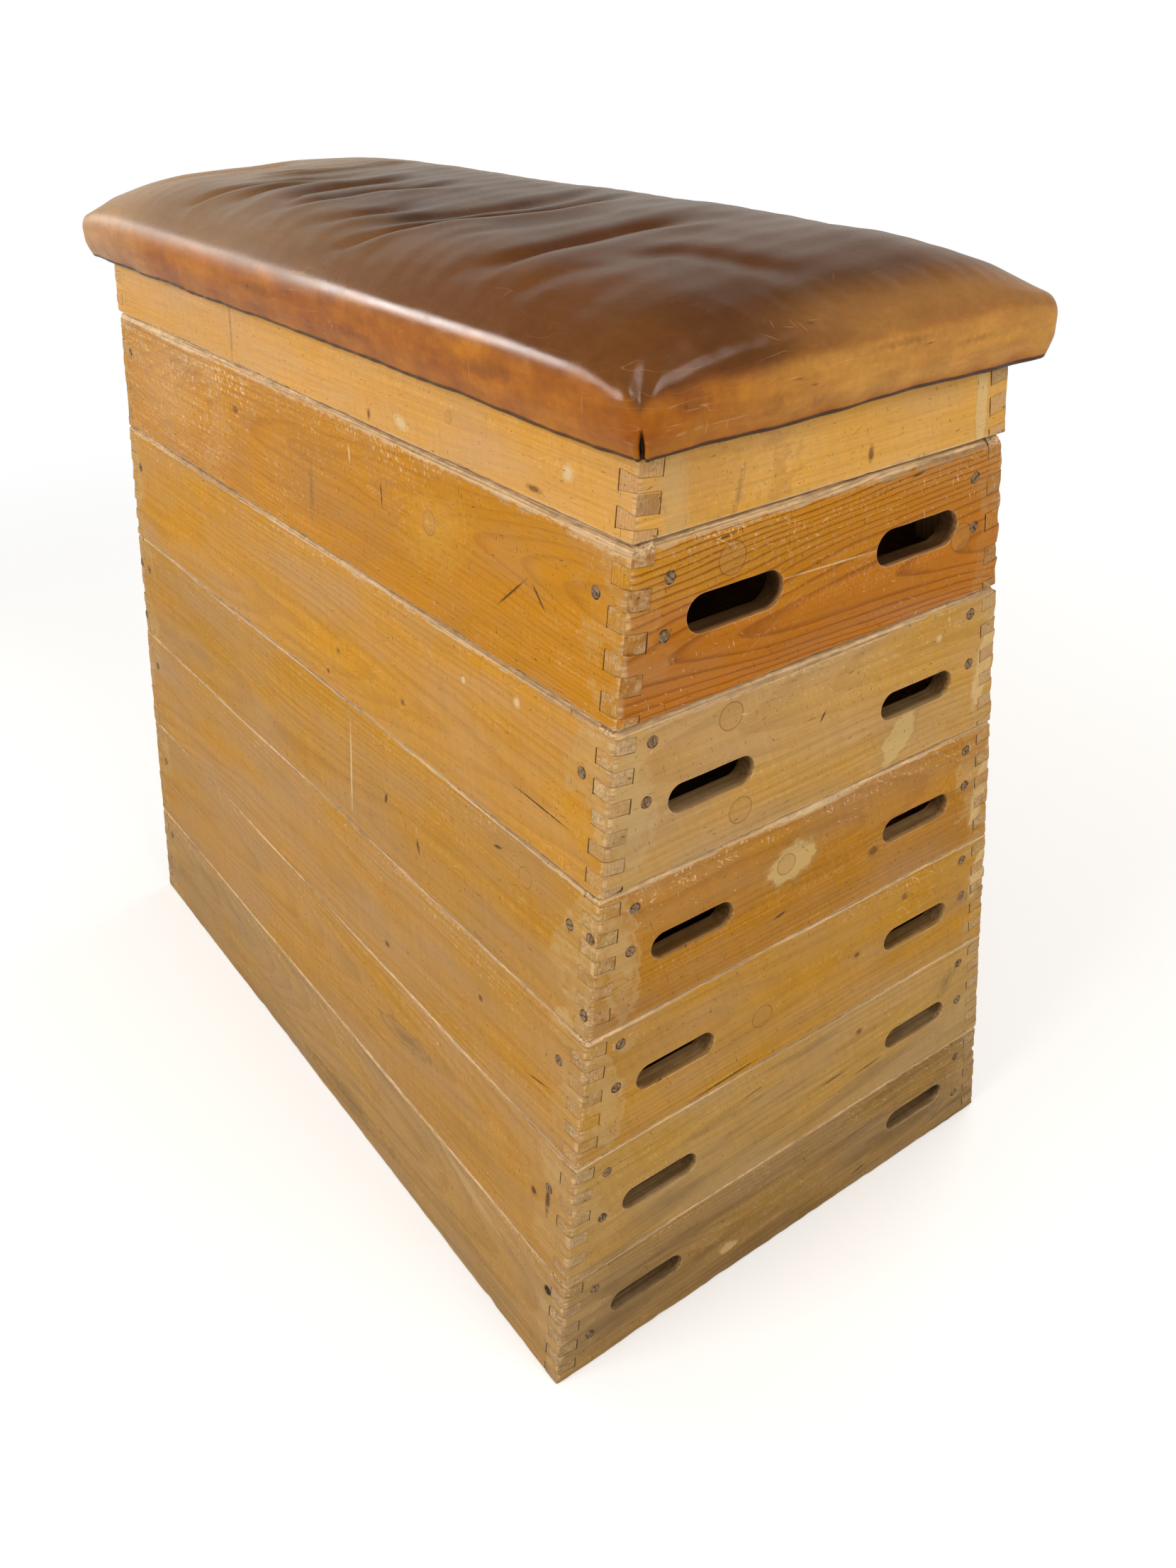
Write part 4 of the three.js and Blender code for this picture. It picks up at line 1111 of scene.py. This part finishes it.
def creaseHeight(x, y, crease):
    # Depth as a bell across the path, a ridge beside it that is lower on its far side, and a wide hollow, all
    # fading out towards the path's ends
    depth, wide, high, side, line = crease
    path = lineOf(line)
    flat = np.stack([x.ravel(), y.ravel()], -1)
    best = np.full(len(flat), 1e9)
    share = np.zeros(len(flat))
    sign = np.zeros(len(flat))
    for k in range(len(path) - 1):
        start, step = path[k], path[k + 1] - path[k]
        t = np.clip((flat - start) @ step / (step @ step), 0, 1)
        off = flat - start - t[:, None] * step
        gap = np.hypot(off[:, 0], off[:, 1])
        nearer = gap < best
        best = np.where(nearer, gap, best)
        share = np.where(nearer, (k + t) / (len(path) - 1), share)
        sign = np.where(nearer, np.sign(step[0] * off[:, 1] - step[1] * off[:, 0]), sign)
    fade = smooth(np.clip(share / fold["start"], 0, 1) * np.clip((1 - share) / fold["end"], 0, 1))
    width = wide * (1.5 - 0.5 * fade)
    valley = -depth * bell(best, width)
    ridge = high * bell(best - fold["offset"] * width, fold["width"] * width)
    ridge = np.where(sign * side > 0, ridge, fold["far"] * ridge)
    hollow = -fold["hollow"] * depth * bell(best, fold["hollowWidth"] * width)
    return ((valley + ridge + hollow) * fade).reshape(x.shape)


def padLines(half, corner, step):
    # Grid lines from one edge to the other: close over the rim, even between the corners
    reach, count, more = pad["rimLines"]
    edge = half - np.concatenate([reach * (1 - np.cos(np.linspace(0, np.pi / 2, count))), more])
    inner = np.linspace(half - corner, -(half - corner), int(2 * (half - corner) / step))
    return np.concatenate([-edge, inner[::-1], edge[::-1]])


def padPlan(x, y):
    # Square corners drawn in to quarter circles: the offset from the corner's centre keeps its larger part as length.
    # Also gives the distance from the edge and how much that edge belongs to an end, 0 on the long sides.
    dx = np.abs(x) - (pad["halfX"] - pad["corner"])
    dy = np.abs(y) - (pad["halfY"] - pad["corner"])
    inCorner = (dx > 0) & (dy > 0)
    reach = np.maximum(dx, dy)
    pull = reach / np.maximum(np.hypot(dx, dy), 1e-9)
    newX = np.where(inCorner, np.sign(x) * (pad["halfX"] - pad["corner"] + dx * pull), x)
    newY = np.where(inCorner, np.sign(y) * (pad["halfY"] - pad["corner"] + dy * pull), y)
    near = np.minimum(pad["halfX"] - np.abs(x), pad["halfY"] - np.abs(y))
    endShare = np.maximum(dx, 0) ** 2 / np.maximum(np.maximum(dx, 0) ** 2 + np.maximum(dy, 0) ** 2, 1e-9)
    least, over = pad["endFade"]
    endShare = endShare * (least + (1 - least) * np.clip((pad["halfY"] - np.abs(y)) / over, 0, 1))
    return newX, newY, np.where(inCorner, pad["corner"] - reach, near), endShare


def cornerDip(x, y):
    # The rim sinks towards each corner as a bell; the near corner also has a pleat on its diagonal, a narrow valley
    # between two low ridges
    dx, dy = pad["halfX"] - np.abs(x), pad["halfY"] - np.abs(y)
    near = (x > 0) & (y < 0)
    away, across = np.hypot(dx, dy), np.abs(dx - dy) / math.sqrt(2)
    (deep, narrow), (high, aside, wide) = corners["valley"], corners["ridge"]
    pleat = deep * bell(across, narrow) - high * bell(across - aside, wide)
    dip = np.where(near, corners["nearDip"], corners["dip"]) * bell(away, corners["reach"])
    return dip + np.where(near, pleat, 0) * smooth(1 - away / corners["pleatReach"])


def padTop(x, y, inside, endShare):
    # Height = shoulder - rim height (1 - quarter ellipse) + crown (1 - |v|^5.3)(1 - |u|^10) + creases and hollows
    u = np.clip(np.abs(x) / pad["halfX"], 0, 1)
    v = np.clip(np.abs(y) / pad["halfY"], 0, 1)
    rise = pad["crown"] * (1 - v ** pad["sidePower"]) * (1 - u ** pad["endPower"])
    wide, tall = (side + (end - side) * endShare for side, end in zip(pad["sideRim"], pad["endRim"]))
    fall = 1 - np.clip(inside / wide, 0, 1)
    z = pad["shoulder"] - tall * (1 - np.sqrt(np.clip(1 - fall ** 2, 0, 1))) + rise - cornerDip(x, y)
    flat = np.stack([x, y, 0 * x], -1)
    slanted = flat * (1, 0.3, 1) + flat[..., [1, 0, 2]] * (0.12, 0, 0)

    def wave(kind, points, seed):
        return hide[kind][0] * ripples(points, hide[kind][1], seed)

    soft = wave("swell", flat, 11) + wave("lump", flat, 12) + wave("pull", slanted, 14)
    middle, reach = hide["tugPlace"]
    tug = wave("tug", flat * (0.25, 1, 1), 13) * bell(inside - middle, reach)
    bumps = sum(creaseHeight(x, y, crease) for crease in creases)
    return z + soft * smooth(inside / 40) + tug + bumps * np.clip((inside - 6) / 40, 0, 1)


def padRing(base, normal, inset, z):
    # A level loop at an inset: straight parts slide in, corners keep their direction with a smaller radius
    corner = max(pad["corner"] - inset, 1.2)
    halves = np.array([pad["halfX"], pad["halfY"]])
    flat = base / (halves - pad["corner"]) * (halves - inset - corner) + corner * normal
    return np.column_stack([flat, np.broadcast_to(z, len(flat))])


def cornerSlit(points, height):
    # The open seam at the corner near (+X, -Y): a V that widens downwards, cut inwards from the flank
    x, y = points[:, 0], points[:, 1]
    centreX, centreY = pad["halfX"] - pad["corner"], -(pad["halfY"] - pad["corner"])
    around = np.arctan2(centreY - y, x - centreX)
    arc = (around - math.radians(slit["turn"])) * pad["corner"]
    inZone = (x > centreX - 5) & (y < centreY + 5)
    opened = np.clip((slit["top"] - height) / slit["height"], 0, 1)
    wide = slit["halfWidth"] + slit["widening"] * opened
    cut = np.exp(-(np.abs(arc) / wide) ** 4) * inZone * opened ** 0.4
    high, aside, spread = slit["lips"]
    lips = bell(np.abs(arc) - wide - aside, spread) * inZone * opened
    way = np.stack([np.cos(around), -np.sin(around)], -1)
    return way * (high * lips - slit["depth"] * cut)[:, None], cut


def padMesh():
    # The top is a grid. From its border, loops go down the flank, which is full at its middle and drawn in to the
    # hem, roll under, turn back to the lip and rise round the deck to a flat cap.
    xs, ys = (padLines(pad[half], pad["corner"], pad["step"]) for half in ("halfX", "halfY"))
    gx, gy = np.meshgrid(xs, ys, indexing="ij")
    x, y, inside, endShare = padPlan(gx, gy)
    z = padTop(x, y, inside, endShare)
    index = np.arange(x.size).reshape(x.shape)
    quads = [np.stack([index[:-1, :-1], index[1:, :-1], index[1:, 1:], index[:-1, 1:]], -1).reshape(-1, 4)]
    loop = np.concatenate([index[:-1, 0], index[-1, :-1], index[:0:-1, -1], index[0, :0:-1]])
    lx, ly, lz = (each.ravel()[loop] for each in (gx, gy, z))
    innerX, innerY = pad["halfX"] - pad["corner"], pad["halfY"] - pad["corner"]
    base = np.column_stack([np.clip(lx, -innerX, innerX), np.clip(ly, -innerY, innerY)])
    normal = np.column_stack([lx, ly]) - base
    normal /= np.linalg.norm(normal, axis=1, keepdims=True)
    around = np.column_stack([lx, ly, 0 * lx])
    hem, drawn, turn, lip, deckEdge = (pad[key] for key in ("hem", "hemDraw", "turn", "lip", "deckEdge"))
    stretch = (lz - hem) / (pad["flankTop"] - hem)
    arch = np.minimum(np.abs(lx) / pad["halfX"], np.abs(ly) / pad["halfY"])
    arch = hemForm["arch"] * np.cos(np.pi / 2 * np.clip(arch, 0, 1)) ** 2
    heights = np.array(pad["flank"])
    insets = drawn * (np.clip(pad["flankMiddle"] - heights, 0, 99) / (pad["flankMiddle"] - hem)) ** 1.25
    rings = [(inset, height, "flank") for inset, height in zip(insets, heights)]
    rings += [(drawn + 0.4, 1007.3, "flank"), (drawn + 1.6, hem, "roll"), (drawn + 8, hem - 0.1, "under"),
              (turn - 0.8, hem, "under")]
    rings += [(inset, height, "inside") for inset, height in
              ((turn, 1008.0), (turn - 0.6, lip), (deckEdge, lip), (deckEdge, 1016), (deckEdge, pad["deckTop"]),
               (deckEdge + 4, pad["deckTop"]))]
    points = [np.stack([x, y, z], -1).reshape(-1, 3)]
    marks = [np.stack([np.zeros(x.shape), np.zeros(x.shape), np.clip(inside / 30, 0, 1)], -1).reshape(-1, 3)]
    upper, total = loop, x.size
    step = np.arange(len(loop))
    for inset, height, part in rings:
        level = hem + (height - hem) * np.where(height > hem, stretch, 1)
        ring = padRing(base, normal, inset, level if part == "flank" else height)
        cut, mark = np.zeros(len(loop)), 2.0
        if part != "inside":
            low = np.clip((hemForm["from"] - height) / hemForm["over"], 0, 1)
            (wide, wideWave), (fine, fineWave) = hemForm["gather"]
            gather = (wide * ripples(around, wideWave, 21) + fine * ripples(around, fineWave, 22)) * low
            sag = (hemForm["sag"][0] * ripples(around, hemForm["sag"][1], 23) + arch) * low ** 2
            push, cut = cornerSlit(ring, height)
            under = part == "under"
            ring[:, :2] += normal * np.minimum(gather, hemForm["fullest"])[:, None] + (0 if under else push)
            most = hemForm["highest"]
            ring[:, 2] += np.clip(sag, -0.2, most) * 0.6 if under else np.clip(sag, -0.5, most)
            mark = (hemForm["mark"][0] - height) / hemForm["mark"][1]
        lower = total + step
        quads.append(np.stack([upper, lower, np.roll(lower, -1), np.roll(upper, -1)], -1))
        points.append(ring)
        marks.append(np.column_stack([cut, np.full(len(loop), mark), np.zeros(len(loop))]))
        upper, total = lower, total + len(ring)
    return np.concatenate(points), np.concatenate(quads), np.concatenate(marks), lower


# Scratched places on the leather, and painted shade along the pinched fold: (kind, x, y, z, half sizes, turn in
# degrees), in millimetres
leatherSpots = [
    ("scratch", 611, -98, 1078, (9, 0.5, 16), 62), ("scratch", 606, -76, 1080, (7, 0.5, 16), 74),
    ("scratch", 608, -64, 1080, (8, 0.6, 16), 20), ("scratch", 600, -88, 1082, (6, 0.4, 16), -20),
    ("scratch", 604, -70, 1082, (6, 0.5, 16), 8), ("scratch", 604, -50, 1082, (8, 0.4, 16), 80),
    ("dark", 602, -22, 1084, (6, 1.2, 16), 20), ("dark", 606, -54, 1082, (2, 5, 16), -14),
    ("scratch", 626, -180, 1030, (6, 0.5, 14), 90), ("scratch", 626, -196, 1026, (6, 0.4, 12), 90),
    ("scratch", 626, -203, 1032, (6, 9, 0.5), 0), ("scratch", -60, -234, 1040, (8, 6, 0.8), 0),
    # painted shade along the pinched fold
    ("dent", -352, -10, 1112, (4, 38, 20), -30), ("dent", -350, 66, 1112, (16, 3, 20), 12),
    ("dark", 626, 60, 1046, (10, 6, 0.9), 0), ("smudge", 626, -105, 1029, (12, 17, 10), 0),
    ("smudge", 626, -183, 1044, (14, 20, 9), 0), ("smudge", 626, -60, 1022, (12, 12, 6), 0),
    ("smudge", 620, -142, 1060, (12, 16, 8), 0), ("smudge", 626, 30, 1051, (12, 46, 4), 0),
    ("smudge", 626, 120, 1040, (12, 30, 4), 0), ("scratch", 626, -89, 1045, (6, 9, 0.7), 0),
    ("scratch", 626, -78, 1040, (6, 7, 0.6), 0), ("dark", 626, -84, 1043, (6, 5, 1.2), 0),
    ("dark", 626, -66, 1036, (6, 5, 1.0), 0), ("scratch", 626, -149, 1026, (6, 24, 0.8), 0),
    ("scratch", 626, -172, 1024, (6, 0.7, 7), 0), ("scratch", 626, -152, 1023, (6, 0.6, 6), 0),
    ("dark", 626, -192, 1043, (6, 3, 3), 0), ("scratch", 626, -187, 1040, (6, 9, 0.6), 0),
    ("scratch", 626, -30, 1048, (6, 14, 0.6), 0), ("smudge", 420, -235, 1040, (60, 12, 9), 0),
    ("smudge", 180, -235, 1030, (50, 12, 8), 0), ("smudge", -40, -235, 1042, (60, 12, 7), 0),
    ("dark", -48, -235, 1042, (4, 8, 3), 0), ("scratch", 402, -235, 1033, (0.7, 8, 12), 0),
    ("scratch", 560, -235, 1040, (0.6, 8, 8), 0), ("scratch", 20, -235, 1038, (9, 8, 0.7), 0),
    ("scratch", -250, -235, 1030, (0.9, 8, 6), 0),
]
# colour, opacity, softness, and waver of the outline
leatherLooks = {"scratch": ((202, 156, 100), 0.4, 0.7, 0.9), "dent": ((40, 24, 14), 0.6, 0.8, 0.8),
                "dark": ((66, 36, 16), 0.5, 0.7, 0.8), "smudge": ((112, 64, 28), 0.4, 0.95, 0.9)}
leatherTones = {"flank": ((182, 108, 16), (160, 86, 10)), "top": ((76, 45, 26), (100, 61, 34)), "near": (118, 70, 32),
                "front": (92, 49, 14), "nose": (170, 116, 58), "back": (152, 115, 80), "tail": (196, 152, 108),
                "end": (198, 138, 60), "hair": (206, 158, 104), "hem": (50, 31, 17), "seamShade": (28, 16, 9)}


def leatherMaterial(tones):
    # Brown hide: dark and polished on the middle of the top, orange-brown on the flanks and near ridge, paler
    # towards the far end, with fine grain cells, a few scratches, and painted shade along the hem and in the open seam
    n = Nodes(bpy.data.materials.new("leather_worn"))
    here = n.add("ShaderNodeTexCoord", output=3)
    x, y, z = n.split(here)
    cut, flank, fromEdge = n.split(n.read("marks"))
    broad = n.noise(n.stretch(here, (3.0, 5.0, 5.0)), 1.0, 4.0)
    cloud = n.noise(n.stretch(here, (12.0, 16.0, 16.0)), 1.0, 5.0, 0.6)
    fine = n.noise(here, 160.0, 5.0, 0.6)
    wander = n.vector("SCALE", n.add("ShaderNodeTexNoise", {"Vector": here, "Scale": 300.0}, 1))
    cells = n.add("ShaderNodeTexVoronoi", {"Vector": n.vector("ADD", here, wander), "Scale": 520.0},
                  feature="DISTANCE_TO_EDGE")
    drift = n.sway(cloud, 0.14, x)
    height = n.sway(broad, 0.03, z)
    across = n.sway(broad, 0.12, n.math("ABSOLUTE", y))
    spread = n.ramp(cloud, 0.32, 0.7)
    color = n.mix(spread, linear(tones["top"][0]), linear(tones["top"][1]))
    color = n.mix(n.times(n.ramp(drift, 0.16, 0.36), 0.9), color, linear(tones["front"]))
    color = n.mix(n.ramp(drift, -0.1, -0.46, 0.0, 0.7), color, linear(tones["back"]))
    near = n.ramp(across, 0.1, 0.2, 0.0, 0.85)
    color = n.mix(near, color, linear(tones["near"]))
    color = n.mix(n.times(near, n.ramp(drift, 0.36, -0.16)), color, linear(tones["back"]))
    nose = n.times(n.ramp(n.sum(broad, 0.03, x), 0.57, 0.635, 0.0, 0.9), n.ramp(y, -0.16, 0.02))
    color = n.mix(nose, color, linear(tones["nose"]))
    color = n.mix(n.ramp(drift, -0.3, -0.56, 0.0, 0.9), color, linear(tones["tail"]))
    side = n.mix(spread, linear(tones["flank"][0]), linear(tones["flank"][1]))
    side = n.mix(n.times(n.ramp(x, 0.62, 0.625), n.ramp(y, -0.22, 0.0)), side, linear(tones["end"]))
    side = n.mix(n.ramp(drift, -0.3, -0.6, 0.0, 0.7), side, linear(tones["tail"]))
    over = n.sway(cloud, 0.25, fromEdge)
    color = n.mix(n.ramp(over, 0.0, 0.24, 1.0, 0.0), color, side)
    rubbed = 0.0
    for kind, *spot, sizes, turn in leatherSpots:
        tone, share, soft, edge = leatherLooks[kind]
        placed = n.placed(here, [at * mm for at in spot], math.radians(turn), [size * mm for size in sizes])
        away = n.vector("LENGTH", placed, output=1)
        away = n.sway(fine, edge, away)
        inside = n.ramp(away, 1 - soft, 1.2, share, 0.0)
        if kind != "smudge":
            rubbed = n.most(rubbed, inside)
        color = n.mix(inside, color, linear(tone))
    # faint hairlines, and a mottled tone on the flanks
    hair = n.noise(n.stretch(here, (9.0, 14.0, 90.0), turn=(0.5, 0.7, 0.0)), 1.0, 1.0)
    hair = n.times(n.ramp(n.off(hair, 0.5), 0.0, 0.007, 0.4, 0.0), n.ramp(cloud, 0.5, 0.62))
    color = n.mix(n.times(hair, n.ramp(height, 1.06, 1.085, 1.0, 0.3)), color, linear(tones["hair"]))
    mottle = n.noise(n.stretch(here, (26.0, 26.0, 40.0)), 1.0, 5.0, 0.65)
    value = n.ramp(mottle, 0.3, 0.7, n.ramp(height, 1.05, 1.09, 0.84, 0.95), 1.07)
    value = n.times(value, n.times(n.ramp(fine, 0.25, 0.75, 0.93, 1.07), n.ramp(broad, 0.3, 0.7, 0.94, 1.06)))
    scuff = n.noise(n.stretch(here, (11.0, 12.0, 62.0), turn=(0.6, 0.4, 0.0)), 1.0, 5.0, 0.62)
    low = n.ramp(height, 1.05, 1.085, 0.89, 0.98)
    value = n.times(value, n.ramp(scuff, 0.34, 0.66, low, n.math("SUBTRACT", 1.96, low)))
    color = n.shade(color, value, Hue=n.ramp(scuff, 0.3, 0.7, 0.497, 0.504))
    # painted shade: a dark wavy line along the hem, the underside, and the inside of the open seam
    lower = n.sway(cloud, 0.14, flank)
    hemShade = n.most(n.ramp(lower, 0.81, 0.87, 0.0, 0.9), n.ramp(flank, 0.9, 0.95, 0.0, 0.9))
    color = n.mix(hemShade, color, linear(tones["hem"]))
    # painted shade inside the open seam at the near corner
    color = n.mix(n.ramp(cut, 0.3, 0.8), color, linear(tones["seamShade"]))
    # most polished along the front half of the side ridges, dull at the far end
    ridge = n.times(n.ramp(n.math("ABSOLUTE", y), 0.2, 0.228), n.ramp(z, 1.03, 1.05))
    shine = n.times(n.ramp(drift, 0.02, 0.22), n.ramp(mottle, 0.36, 0.62, 1.0, 0.55))
    rough = n.sum(ridge, n.sum(shine, -0.3, 0.24), n.ramp(cloud, 0.3, 0.7, 0.17, 0.22))
    rough = n.sum(rubbed, 0.4, rough)
    rough = n.most(rough, n.ramp(flank, 0.9, 1.0, 0.0, 0.7))
    relief = n.times(n.ramp(cells, 0.0, 0.16), 0.35)
    relief = n.sum(fine, 0.5, relief)
    wrinkle = n.noise(n.stretch(here, (60.0, 18.0, 60.0)), 1.0, 4.0)
    relief = n.sum(wrinkle, 0.8, relief)
    relief = n.times(relief, n.sum(ridge, -0.6, 1.0))
    normal = n.bump(relief, 0.13, 0.0005)
    return n.finish(Specular_IOR_Level=0.3, Base_Color=color, Roughness=rough, Normal=normal)


padPoints, padQuads, padMarks, capLoop = padMesh()
leather = meshOf("leather_pad", padPoints, padQuads, {"marks": padMarks}, sharp=55, polygons=[capLoop[::-1].tolist()])
leatherPad = place(leather, "top_section", leatherMaterial(leatherTones), ["leather_cover", "padding"])
print("padded top made")
